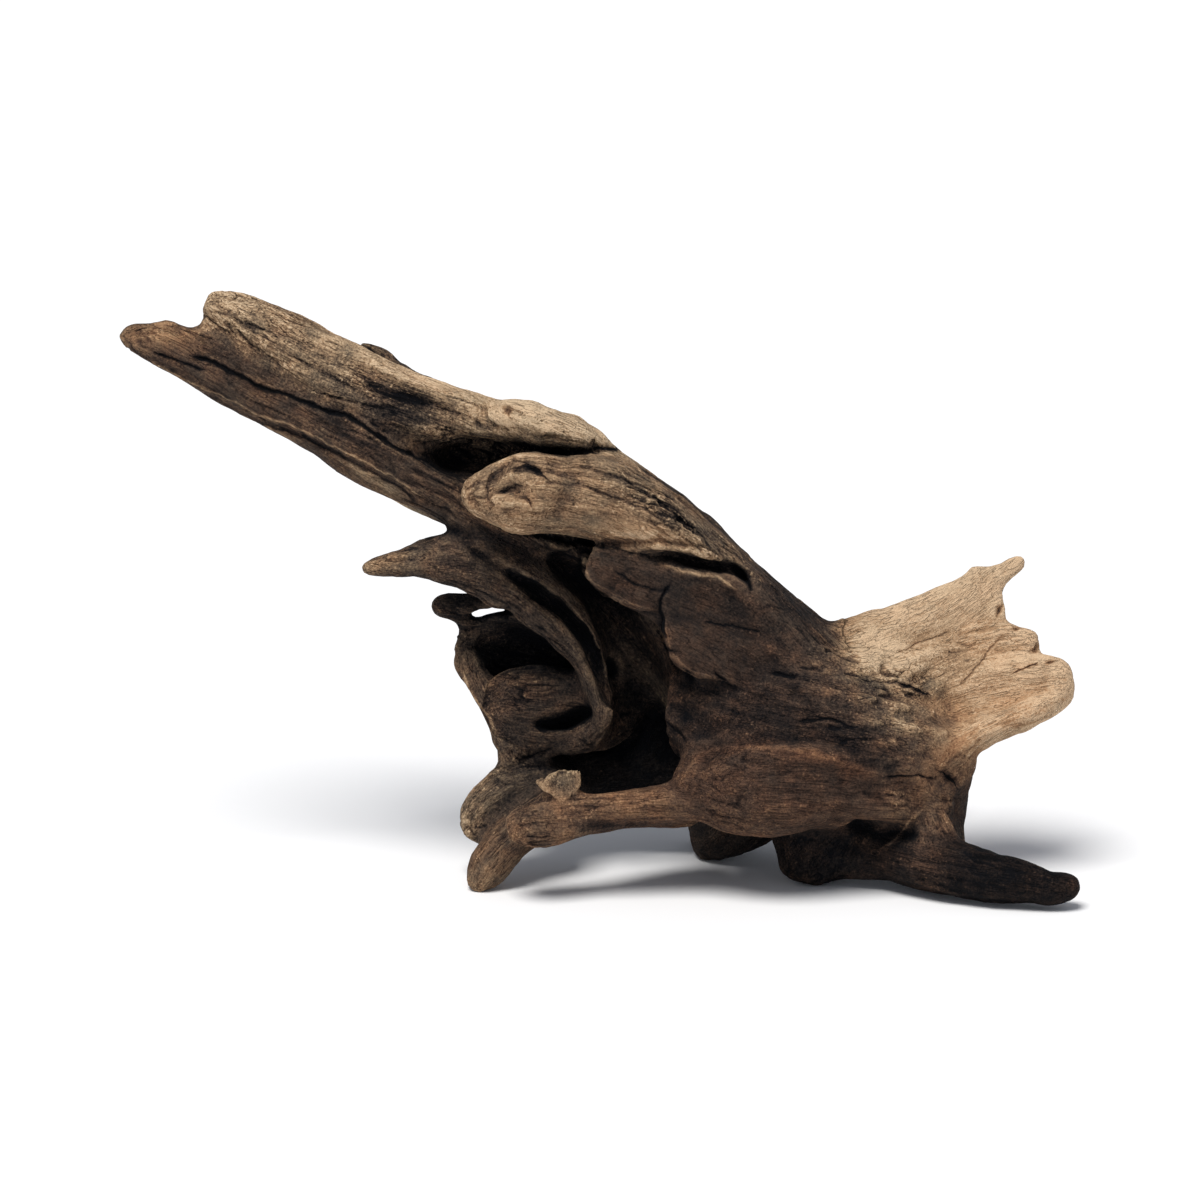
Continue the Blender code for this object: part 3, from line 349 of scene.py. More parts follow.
@dataclass(frozen=True)
class Swell:
    """A soft rise of the skin round a line inside the root.

    Attributes:
        line: (across, back, up) points.
        width: how far it reaches, in millimetres.
        height: how far the skin rises at the line, in millimetres.
    """

    line: tuple[tuple[float, float, float], ...]
    width: float
    height: float

    def lift(self, points: np.ndarray) -> np.ndarray:
        """Work out how far the swell lifts the skin.

        Args:
            points: drawing points, one a row.

        Returns:
            How far each point rises, in millimetres.
        """
        nearest = np.full(len(points), np.inf)
        for start, end in zip(np.array(self.line)[:-1], np.array(self.line)[1:]):
            run = end - start
            along = np.clip((points - start) @ run / (run @ run), 0.0, 1.0)
            nearest = np.minimum(nearest, np.linalg.norm(points - start - along[:, None] * run, axis=1))
        return self.height * np.exp(-(nearest / self.width) ** 2)


@dataclass(frozen=True)
class Flake:
    """A thin loose plate of wood that is grown into the skin.

    Attributes:
        outline: (across, up) corners, anticlockwise.
        back: how far back its middle plane lies.
        lean: how far it leans back for each millimetre up.
        thickness: its thickness in millimetres.
    """

    outline: tuple[tuple[float, float], ...]
    back: float
    lean: float
    thickness: float

    def add_to(self, work: bmesh.types.BMesh) -> None:
        """Add the plate's prism to a mesh in the drawing frame.

        Args:
            work: the mesh.
        """
        base = self.outline[0][1]
        rings = [[work.verts.new((across, self.back + self.lean * (up - base) + side * self.thickness / 2, up))
                  for across, up in self.outline] for side in (-1, 1)]
        front, rear = rings
        work.faces.new(front)
        work.faces.new(reversed(rear))
        for index in range(len(front)):
            after = (index + 1) % len(front)
            work.faces.new((front[after], front[index], rear[index], rear[after]))


FLAKES: dict[str, Flake] = {
    "chip": Flake(((-12.3, 36.0), (-5.7, 41.2), (-6.6, 47.2), (-9.5, 46.2), (-13, 47.4), (-17, 44.6), (-21.6, 43.4),
        (-19.2, 40.2), (-16, 38.2)), -29.0, 0.1, 2.0),
}


@dataclass(frozen=True)
class Scale:
    """A lifted scale of wood on the skin that faces the viewer.

    Attributes:
        place: its middle as the viewer sees it, (across, up).
        size: its length and width in millimetres.
        turn_deg: how far its length turns up from level.
        lift: how far its free end stands off the skin.
        corners: the number of corners of its ragged outline.
        root: how deep its underside is sunk in.
        raggedness: how far a corner strays, as a share of the size.
        tilt: how much lower its fixed end lies, as a share of the lift.
    """

    place: tuple[float, float]
    size: tuple[float, float]
    turn_deg: float
    lift: float
    corners: int = 14
    root: float = 1.0
    raggedness: float = 0.3
    tilt: float = 0.4

    def add_to(self, work: bmesh.types.BMesh, tree: BVHTree, eye: Vector, chance: random.Random) -> None:
        """Add the scale to a mesh in the drawing frame.

        Args:
            work: the mesh.
            tree: the skin that the scale lies on.
            eye: the viewer's eye.
            chance: the source of its ragged outline.
        """
        turn = math.radians(self.turn_deg)
        rings: list[list[bmesh.types.BMVert]] = [[], []]
        for index in range(self.corners + 1):
            angle = 2 * math.pi * index / self.corners
            reach = 0.0 if index == self.corners else 0.5 + self.raggedness * (chance.random() - 0.5)
            along, wide = math.cos(angle) * reach * self.size[0], math.sin(angle) * reach * self.size[1]
            across = self.place[0] + along * math.cos(turn) - wide * math.sin(turn)
            up = self.place[1] + along * math.sin(turn) + wide * math.cos(turn)
            point, normal = tree.ray_cast(eye, Vector((across, 0.0, up)) - eye)[:2]
            if point is None:
                return
            rise = self.lift * (1 - self.tilt + self.tilt * math.cos(angle) * (reach > 0.0))
            rings[0].append(work.verts.new(point + rise * normal))
            rings[1].append(work.verts.new(point - self.root * normal))
        front, rear = rings
        for index in range(self.corners):
            after = (index + 1) % self.corners
            work.faces.new((front[index], front[after], front[-1]))
            work.faces.new((rear[after], rear[index], rear[-1]))
            work.faces.new((front[after], front[index], rear[index], rear[after]))


SCALES: tuple[Scale, ...] = (
    Scale((87.3, 69.3), (9, 3), -6, 1.2), Scale((97.7, 67.3), (10, 3.4), -8, 1.4),
    Scale((108, 65.3), (8, 2.8), -14, 1.2), Scale((90, 62), (10, 3.2), -4, 1.4),
    Scale((101.7, 60.3), (11, 3.6), -10, 1.7), Scale((112, 59), (7, 2.6), -18, 1.2),
    Scale((95, 55.3), (9, 3), -8, 1.2), Scale((105, 53.3), (7, 2.4), -15, 1.0),
    Scale((102, 73.3), (13, 3.6), -16, 2.0), Scale((28, 112), (9, 2.4), -12, 0.9),
    Scale((40, 108.5), (8, 2.2), -18, 0.8), Scale((-95, 178), (14, 2.2), -27, 0.6),
    Scale((-110, 186), (11, 2), -25, 0.5), Scale((-70, 168), (12, 2.2), -28, 0.6),
    Scale((66, 68), (9, 2.4), -8, 0.6), Scale((74, 80), (8, 2.2), -30, 0.6), Scale((58, 86), (8, 2), -35, 0.5),
    Scale((-30, 112), (10, 2), -38, 0.5),
)


SWELLS: dict[str, Swell] = {
    "slit_sill": Swell(((-44, 13, 96), (-38, 13, 97), (-31, 13, 97.5)), 3.5, 1.8),
    "slit_roof": Swell(((-43, 10, 101), (-38, 10, 101.5)), 3.0, 1.6),
    "slit_rib": Swell(((-37, -9, 101), (-33, -9, 100.7)), 3.5, 1.3),
    "cavity_end": Swell(((-78, -10, 157.5), (-70, -8, 154.5), (-63, -5, 152)), 7.0, 8.5),
    "groove_end": Swell(((-50, -14, 126), (-38, -12, 117), (-28, -11, 110)), 5.0, 2.2),
    "scoop_gap": Swell(((-38, 12, 83), (-35, 9, 75)), 4.5, 3.5),
}


def named_array(mesh: bpy.types.Mesh, name: str, size: int) -> np.ndarray:
    """Read an attribute of a mesh's vertices.

    Args:
        mesh: the mesh to read.
        name: "co", "normal" or the name of a point attribute.
        size: the number of values a vertex has.

    Returns:
        The values, one row a vertex, or a flat array where size is 1.
    """
    values = np.empty(len(mesh.vertices) * size, dtype=np.float32)
    if name in ("co", "normal"):
        mesh.vertices.foreach_get(name, values)
    else:
        mesh.attributes[name].data.foreach_get("value" if size == 1 else "vector", values)
    values = values.astype(float)
    return values if size == 1 else values.reshape(-1, size)


def set_points(mesh: bpy.types.Mesh, points: np.ndarray) -> None:
    """Move a mesh's vertices to the given points."""
    mesh.vertices.foreach_set("co", points.astype(np.float32).ravel())
    mesh.update()


def put_attribute(mesh: bpy.types.Mesh, name: str, values: np.ndarray) -> None:
    """Store values on a mesh's vertices as a float or vector attribute.

    Args:
        mesh: the mesh.
        name: the attribute's name.
        values: one number or one row of three for each vertex.
    """
    kind, key = ("FLOAT", "value") if values.ndim == 1 else ("FLOAT_VECTOR", "vector")
    layer = mesh.attributes.get(name) or mesh.attributes.new(name, kind, "POINT")
    layer.data.foreach_set(key, values.astype(np.float32).ravel())


def bake_modifiers(target: bpy.types.Object) -> None:
    """Replace an object's mesh by its evaluated mesh and clear its modifiers.

    Args:
        target: the object.
    """
    graph = bpy.context.evaluated_depsgraph_get()
    made = bpy.data.meshes.new_from_object(target.evaluated_get(graph))
    target.modifiers.clear()
    target.data = made


def place_object(name: str, data: bpy.types.ID) -> bpy.types.Object:
    """Make an object in the scene.

    Args:
        name: the object's name.
        data: its mesh, light or camera.

    Returns:
        The object.
    """
    made = bpy.data.objects.new(name, data)
    bpy.context.scene.collection.objects.link(made)
    return made


def skin_tree(mesh: bpy.types.Mesh) -> BVHTree:
    """Build a search tree of a mesh's faces.

    Args:
        mesh: the mesh.

    Returns:
        The tree.
    """
    work = bmesh.new()
    work.from_mesh(mesh)
    tree = BVHTree.FromBMesh(work)
    work.free()
    return tree


def smooth_curve(points: np.ndarray, step: float) -> np.ndarray:
    """Return points on a Catmull-Rom curve through the given ones.

    Args:
        points: the curve's own points, one a row.
        step: the distance to leave between two points of the result, about.

    Returns:
        The dense points, one a row.
    """
    if len(points) < 2:
        return points
    ends = np.vstack([2 * points[0] - points[1], points, 2 * points[-1] - points[-2]])
    rows = []
    for index in range(len(points) - 1):
        before, start, end, after = ends[index:index + 4]
        count = max(2, int(np.linalg.norm(end - start) / step))
        share = (np.arange(count) / count)[:, None]
        linear = (end - before) * share
        square = (2 * before - 5 * start + 4 * end - after) * share ** 2
        cube = (3 * start - before - 3 * end + after) * share ** 3
        rows.append(0.5 * (2 * start + linear + square + cube))
    rows.append(points[-1:])
    return np.vstack(rows)


@dataclass
class GrainField:
    """The grain's own coordinates and the wood's tones, worked out from the guides.

    The guides share three channels, so that two guides that meet lie in different channels
    and their grain can blend from one to the other.

    Attributes:
        step: the length of a guide's straight pieces.
        blend: how far past its limb a guide's grain fades out.
        tone_blend: how softly the tones of two limbs mix.
        reach: how far from its limb a guide counts at all.
        least_lead: the least share of a channel in which two guides lie equally near.
        curves: the guides' dense (across, back, up, reach) points.
        channels: the channel of each guide.
    """

    step: float = 7.0
    blend: float = 6.0
    tone_blend: float = 3.0
    reach: float = 30.0
    least_lead: float = 0.02
    curves: list[np.ndarray] = field(default_factory=list)
    channels: list[int] = field(default_factory=list)

    def __post_init__(self) -> None:
        """Work out the guides' curves and their channels."""
        self.curves = [smooth_curve(np.array(guide.path, dtype=float), self.step) for guide in GUIDES.values()]
        self.channels = self._share_channels()

    def _share_channels(self) -> list[int]:
        """Give each guide the channel in which it meets the fewest others.

        Returns:
            The guides' channels.
        """
        count = len(self.curves)
        meets = np.zeros((count, count))
        for first in range(count):
            for second in range(first):
                a, b = self.curves[first], self.curves[second]
                gaps = np.linalg.norm(a[:, None, :3] - b[None, :, :3], axis=2)
                near = gaps < a[:, None, 3] + b[None, :, 3] + self.blend
                meets[first, second] = meets[second, first] = near.any(axis=1).sum()
        channels = [-1] * count
        for index in np.argsort(-meets.sum(axis=1), kind="stable"):
            load = [sum(meets[index, other] for other in range(count) if channels[other] == channel)
                    for channel in range(len(GRAIN_CHANNELS))]
            channels[index] = int(np.argmin(load))
        return channels

    def _measure(self, points: np.ndarray, curve: np.ndarray) -> tuple[np.ndarray, np.ndarray]:
        """Measure points against one guide.

        Args:
            points: drawing points, one a row.
            curve: the guide's dense (across, back, up, reach) points.

        Returns:
            Each point's distance to the limb's skin and its (along, wide, deep) grain coordinates.
        """
        best = np.full(len(points), np.inf)
        place = np.zeros((len(points), 3))
        start_length = 0.0
        for start, end in zip(curve[:-1], curve[1:]):
            run = end[:3] - start[:3]
            length = np.linalg.norm(run)
            run = run / length
            wide = np.cross(run, (0.0, 1.0, 0.0))
            wide /= max(np.linalg.norm(wide), 1e-6)
            deep = np.cross(run, wide)
            offset = points - start[:3]
            along = np.clip(offset @ run, 0.0, length)
            side = offset - along[:, None] * run
            radius = start[3] + (end[3] - start[3]) * along / length
            distance = np.linalg.norm(side, axis=1) - radius
            nearer = distance < best
            best[nearer] = distance[nearer]
            place[nearer] = np.column_stack([start_length + offset @ run, side @ wide, side @ deep])[nearer]
            start_length += length
        return best, place

    def mark(self, mesh: bpy.types.Mesh) -> None:
        """Store the grain coordinates, their shares and the tones on a mesh.

        Args:
            mesh: a mesh in the drawing frame.
        """
        points = named_array(mesh, "co", 3)
        guides = list(GUIDES.values())
        gap = np.full((len(guides), len(points)), self.reach)
        place = np.zeros((len(guides), len(points), 3), dtype=np.float32)
        for index, curve in enumerate(self.curves):
            margin = self.reach + curve[:, 3].max()
            low, high = curve[:, :3].min(axis=0) - margin, curve[:, :3].max(axis=0) + margin
            near = np.flatnonzero(((points > low) & (points < high)).all(axis=1))
            gap[index, near], place[index, near] = self._measure(points[near], curve)
        nearest = gap.min(axis=0)
        rows = np.arange(len(points))
        shares = np.zeros((len(GRAIN_CHANNELS), len(points)))
        for channel, name in enumerate(GRAIN_CHANNELS):
            members = [index for index, own in enumerate(self.channels) if own == channel]
            order = np.argsort(gap[members], axis=0)[:2]
            first = np.array(members)[order[0]]
            second = np.array(members)[order[1]]
            lead = np.clip((gap[second, rows] - gap[first, rows]) / self.blend, self.least_lead, 1.0)
            shares[channel] = np.clip(1.0 - (gap[first, rows] - nearest) / self.blend, 0.0, 1.0) ** 2 * lead
            put_attribute(mesh, name, place[first, rows])
        put_attribute(mesh, "grain_mix", (shares / shares.sum(axis=0)).T)
        weight = np.exp(-(gap - nearest) / self.tone_blend)
        weight /= weight.sum(axis=0)
        tones = np.array([(guide.light, guide.red, guide.rough) for guide in guides])
        put_attribute(mesh, "tones", weight.T @ tones)


@dataclass
class FrontCarving:
    """The strokes, as they act on the skin that faces the viewer.

    Attributes:
        layout: the drawing frame.
        curve_step: the length of a stroke's straight pieces.
        wander: (size, pitch) pairs of the waver that makes the strokes ragged.
        wander_seed: the seed of that waver, which Blender would otherwise take from the clock.
        end_taper: the length over which a stroke fades out at its ends, in its own widths.
        ledge_fade: how far a ledge's proud side reaches, in its widths.
        line_width: the half width of a stroke's sharp line, in its widths.
        line_reach: how far from its middle a sharp line is measured, in millimetres.
        soft_share: the share of a sharp stroke's tone that spreads over its whole width.
        squareness: how soon a turned vertex counts as squarely seen.
        clearance: how far off the skin a line of sight starts, in millimetres.
        sight: how far off another part of the skin can hide a vertex, in millimetres.
        least_taper: the share of a stroke that is left at its very ends.
        stroke_reach: how far from its line a stroke is measured, in its widths.
        ledge_rise: the distance over which a ledge rises, in millimetres.
        ledge_line: how far from a ledge its sharp line lies, in its widths.
        line_facing: how squarely a vertex is seen, at least, to carry a sharp line.
    """

    layout: Layout
    curve_step: float = 2.5
    wander: tuple[tuple[float, float], ...] = ((0.8, 5.0), (0.4, 1.9))
    wander_seed: int = 7
    end_taper: float = 4.0
    ledge_fade: float = 3.0
    line_width: float = 0.5
    line_reach: float = 3.0
    soft_share: float = 0.35
    squareness: float = 1.6
    clearance: float = 0.6
    sight: float = 400.0
    least_taper: float = 0.15
    stroke_reach: float = 6.0
    ledge_rise: float = 0.8
    ledge_line: float = 0.5
    line_facing: float = 0.1

    def seen(self, mesh: bpy.types.Mesh) -> np.ndarray:
        """Return how squarely each vertex faces the viewer, and 0 where it is hidden.

        Args:
            mesh: a mesh in the drawing frame.

        Returns:
            A share from 0 to 1 for each vertex.
        """
        points = named_array(mesh, "co", 3)
        normals = named_array(mesh, "normal", 3)
        sight = self.layout.eye() - points
        sight /= np.linalg.norm(sight, axis=1)[:, None]
        facing = np.clip(self.squareness * (normals * sight).sum(axis=1), 0.0, 1.0)
        tree = skin_tree(mesh)
        for index in np.flatnonzero(facing > 0.0):
            start = Vector(points[index] + self.clearance * normals[index])
            if tree.ray_cast(start, Vector(sight[index]), self.sight)[0] is not None:
                facing[index] = 0.0
        return facing

    def _wavered(self, mesh: bpy.types.Mesh) -> np.ndarray:
        """Place the vertices as the viewer sees them, pushed about a little.

        Args:
            mesh: a mesh in the drawing frame.

        Returns:
            Each vertex's (across, up) place.
        """
        points = named_array(mesh, "co", 3)
        seen = self.layout.as_seen(points)
        noise.seed_set(self.wander_seed)
        for size, pitch in self.wander:
            push = np.array([noise.noise_vector(point / pitch) for point in map(Vector, points)])
            seen += size * push[:, (0, 2)]
        return seen

    def _distances(self, seen: np.ndarray, stroke: Stroke) -> tuple[np.ndarray, np.ndarray, np.ndarray]:
        """Measure places against one stroke.

        Args:
            seen: (across, up) places.
            stroke: the stroke.

        Returns:
            Each place's distance to the stroke, positive side on its left, and its end taper.
        """
        line = smooth_curve(np.array(stroke.line, dtype=float), self.curve_step)
        if stroke.kind is Kind.PIT:
            gaps = np.linalg.norm(seen[:, None, :] - np.array(stroke.line)[None, :, :], axis=2).min(axis=1)
            return gaps, np.ones(len(seen)), np.ones(len(seen))
        best = np.full(len(seen), np.inf)
        side = np.ones(len(seen))
        travelled = np.zeros(len(seen))
        start_length = 0.0
        for start, end in zip(line[:-1], line[1:]):
            run = end - start
            length = np.linalg.norm(run)
            run = run / length
            offset = seen - start
            along = np.clip(offset @ run, 0.0, length)
            distance = np.linalg.norm(offset - along[:, None] * run, axis=1)
            nearer = distance < best
            best[nearer] = distance[nearer]
            side[nearer] = np.sign(run[0] * offset[:, 1] - run[1] * offset[:, 0])[nearer]
            travelled[nearer] = (start_length + along)[nearer]
            start_length += length
        to_end = np.minimum(travelled, start_length - travelled)
        taper = np.clip(to_end / (self.end_taper * stroke.width), self.least_taper, 1.0)
        return best, side, taper

    def _profile(self, stroke: Stroke, distance: np.ndarray, side: np.ndarray) -> np.ndarray:
        """Work out how far a stroke lifts the skin.

        Args:
            stroke: the stroke.
            distance: the distances from it.
            side: 1 on its left and -1 on its right, for each distance.

        Returns:
            The lift at each distance, in millimetres.
        """
        bell = np.exp(-(distance / stroke.width) ** 2)
        if stroke.kind is Kind.LEDGE:
            proud = np.clip(distance / self.ledge_rise, 0.0, 1.0) * np.exp(-distance / (self.ledge_fade * stroke.width))
            under = -np.exp(-(distance / stroke.width) ** 2)
            return stroke.height * np.where(side > 0, proud, under)
        if stroke.kind is Kind.RIDGE:
            return stroke.height * bell
        if stroke.kind is Kind.STAIN:
            return np.zeros(len(distance))
        return -stroke.height * bell

    def apply(self, mesh: bpy.types.Mesh, carve: bool) -> None:
        """Lay every stroke on a mesh in the drawing frame.

        Args:
            mesh: the mesh.
            carve: whether the strokes move its vertices, or only leave their tones on it.
        """
        facing = self.seen(mesh)
        place = self._wavered(mesh)
        lift = np.zeros(len(facing))
        tones = named_array(mesh, "tones", 3)
        crack = np.zeros(len(facing))
        line_gap = np.full(len(facing), self.line_reach)
        line_half = np.zeros(len(facing))
        ink = np.zeros(len(facing))
        for stroke in STROKES.values():
            reach = self.stroke_reach * max(stroke.width, 1.0)
            line = np.array(stroke.line)
            inside = (place > line.min(axis=0) - reach) & (place < line.max(axis=0) + reach)
            near = np.flatnonzero(inside.all(axis=1) & (facing > 0.0))
            distance, side, taper = self._distances(place[near], stroke)
            share = facing[near] * taper
            lift[near] += self._profile(stroke, distance, side) * share
            bell = np.exp(-(distance / stroke.width) ** 2) * share
            sharp = stroke.kind in (Kind.CRACK, Kind.LEDGE, Kind.RIDGE) and stroke.light != 0.0
            light = stroke.light * (self.soft_share if sharp else 1.0)
            tones[near] += bell[:, None] * (light, stroke.red, stroke.rough)
            if stroke.kind in (Kind.CRACK, Kind.PIT):
                crack[near] = np.maximum(crack[near], bell)
            if sharp:
                gap = distance * side + (self.ledge_line * stroke.width if stroke.kind is Kind.LEDGE else 0.0)
                nearer = (np.abs(gap) < np.abs(line_gap[near])) & (facing[near] > self.line_facing)
                line_gap[near[nearer]] = gap[nearer]
                line_half[near[nearer]] = self.line_width * stroke.width * taper[nearer]
                ink[near[nearer]] = stroke.light
        put_attribute(mesh, "tones", tones)
        put_attribute(mesh, "stroke_crack", crack)
        put_attribute(mesh, "line", np.column_stack([line_gap, line_half, 1.0 - np.abs(line_gap) / self.line_reach]))
        put_attribute(mesh, "ink", ink)
        if carve:
            points = named_array(mesh, "co", 3)
            normals = named_array(mesh, "normal", 3)
            set_points(mesh, points + lift[:, None] * normals)


class Graph:
    """A node tree, with short calls that place and link its nodes.

    Attributes:
        column: how far apart the nodes lie on the sheet.
    """

    column: float = 190.0

    def __init__(self, tree: bpy.types.NodeTree) -> None:
        """Start on an empty tree."""
        self.tree = tree

    def node(self, kind: str, inputs: dict[str | int, object] | None = None, **settings: object) -> bpy.types.Node:
        """Add a node.

        Args:
            kind: the node's type.
            inputs: a socket or a constant for each named or numbered input.
            **settings: the node's own properties.

        Returns:
            The node.
        """
        made = self.tree.nodes.new(kind)
        made.location = (self.column * len(self.tree.nodes), 0.0)
        for name, value in settings.items():
            setattr(made, name, value)
        for key, value in (inputs or {}).items():
            self.feed(made.inputs[key], value)
        return made

    def feed(self, socket: bpy.types.NodeSocket, value: object) -> None:
        """Link a socket to another, or set it to a constant.

        Args:
            socket: the socket to feed.
            value: the other socket, or the constant.
        """
        if isinstance(value, bpy.types.NodeSocket):
            self.tree.links.new(value, socket)
        else:
            socket.default_value = value

    def math(self, operation: str, *values: object, clamp: bool = False) -> bpy.types.NodeSocket:
        """Return the result of a Math node on the given values."""
        return self.node("ShaderNodeMath", dict(enumerate(values)), operation=operation, use_clamp=clamp).outputs[0]

    def vector(self, operation: str, *values: object) -> bpy.types.NodeSocket:
        """Return the vector result of a Vector Math node on the given values."""
        return self.node("ShaderNodeVectorMath", dict(enumerate(values)), operation=operation).outputs[0]

    def step(self, value: object, low: float, high: float) -> bpy.types.NodeSocket:
        """Return a smooth rise from 0 at low to 1 at high; low may lie above high."""
        return self.node("ShaderNodeMapRange", {"Value": value, "From Min": low, "From Max": high},
                         interpolation_type="SMOOTHSTEP", clamp=True).outputs[0]

    def noise(self, vector: object, scale: object, detail: float = 2.0, rough: float = 0.5) -> bpy.types.NodeSocket:
        """Return a noise value at the vector."""
        return self.node("ShaderNodeTexNoise", {"Vector": vector, "Scale": scale, "Detail": detail,
                                                "Roughness": rough}).outputs[0]

    def mix(self, factor: object, first: object, second: object) -> bpy.types.NodeSocket:
        """Return a colour between two, by factor."""
        return self.node("ShaderNodeMix", {0: factor, 6: first, 7: second}, data_type="RGBA").outputs[2]

    def swing(self, value: object, size: object, base: object, middle: float = 0.5) -> bpy.types.NodeSocket:
        """Return base plus size times how far a pattern's value lies above its middle."""
        return self.math("MULTIPLY_ADD", self.math("SUBTRACT", value, middle), size, base)

    def split(self, vector: object) -> bpy.types.NodeOutputs:
        """Return the three parts of a vector."""
        return self.node("ShaderNodeSeparateXYZ", {0: vector}).outputs

    def store(self, geometry: object, name: str, value: object) -> bpy.types.NodeSocket:
        """Return the geometry with the value kept as an attribute of its points."""
        return self.node("GeometryNodeStoreNamedAttribute", {"Geometry": geometry, "Name": name, "Value": value},
                         data_type="FLOAT", domain="POINT").outputs[0]

    def group(self, tree: bpy.types.NodeTree, inputs: dict[str, object]) -> bpy.types.Node:
        """Place a node group and feed its inputs.

        Args:
            tree: the group.
            inputs: a socket or a constant for each named input.

        Returns:
            The group's node.
        """
        kind = "GeometryNodeGroup" if tree.bl_idname == "GeometryNodeTree" else "ShaderNodeGroup"
        made = self.node(kind, node_tree=tree)
        for name, value in inputs.items():
            self.feed(made.inputs[name], value)
        return made


def new_tree(name: str, kind: str, inputs: dict[str, str], outputs: dict[str, str]) -> tuple[Graph, bpy.types.Node]:
    """Make a node group with named sockets.

    Args:
        name: the group's name.
        kind: "GeometryNodeTree" or "ShaderNodeTree".
        inputs: the type of each input socket, such as "Float".
        outputs: the type of each output socket.

    Returns:
        The group's graph and its Group Input node.
    """
    tree = bpy.data.node_groups.new(name, kind)
    for direction, sockets in (("INPUT", inputs), ("OUTPUT", outputs)):
        for label, socket_type in sockets.items():
            tree.interface.new_socket(label, in_out=direction, socket_type="NodeSocket" + socket_type)
    graph = Graph(tree)
    return graph, graph.node("NodeGroupInput")


def grain_noise_group(kind: str) -> bpy.types.NodeTree:
    """Build the group that draws noise along the grain and blends the three channels.

    Args:
        kind: "GeometryNodeTree" or "ShaderNodeTree".

    Returns:
        The group, with the noise and its distance from its own middle line as outputs.
    """
    sockets = {"A": "Vector", "B": "Vector", "C": "Vector", "Mix": "Vector", "Pitch": "Float",
               "Stretch": "Float", "Detail": "Float", "Seed": "Float"}
    graph, given = new_tree("grain_noise_" + kind[:6].lower(), kind, sockets, {"Value": "Float", "Line": "Float"})
    squeeze = graph.node("ShaderNodeCombineXYZ", {0: graph.math("DIVIDE", 1.0, given.outputs["Stretch"]),
                                                  1: 1.0, 2: 1.0}).outputs[0]
    scale = graph.math("DIVIDE", 1.0, given.outputs["Pitch"])
    shares = graph.split(given.outputs["Mix"])
    value: object = 0.0
    line: object = 0.0
    for index, channel in enumerate("ABC"):
        place = graph.vector("ADD", graph.vector("MULTIPLY", given.outputs[channel], squeeze), given.outputs["Seed"])
        drawn = graph.noise(place, scale, given.outputs["Detail"])
        value = graph.math("MULTIPLY_ADD", drawn, shares[index], value)
        spread = graph.math("ABSOLUTE", graph.math("SUBTRACT", drawn, 0.5))
        line = graph.math("MULTIPLY_ADD", spread, shares[index], line)
    graph.node("NodeGroupOutput", {"Value": value, "Line": line})
    return graph.tree


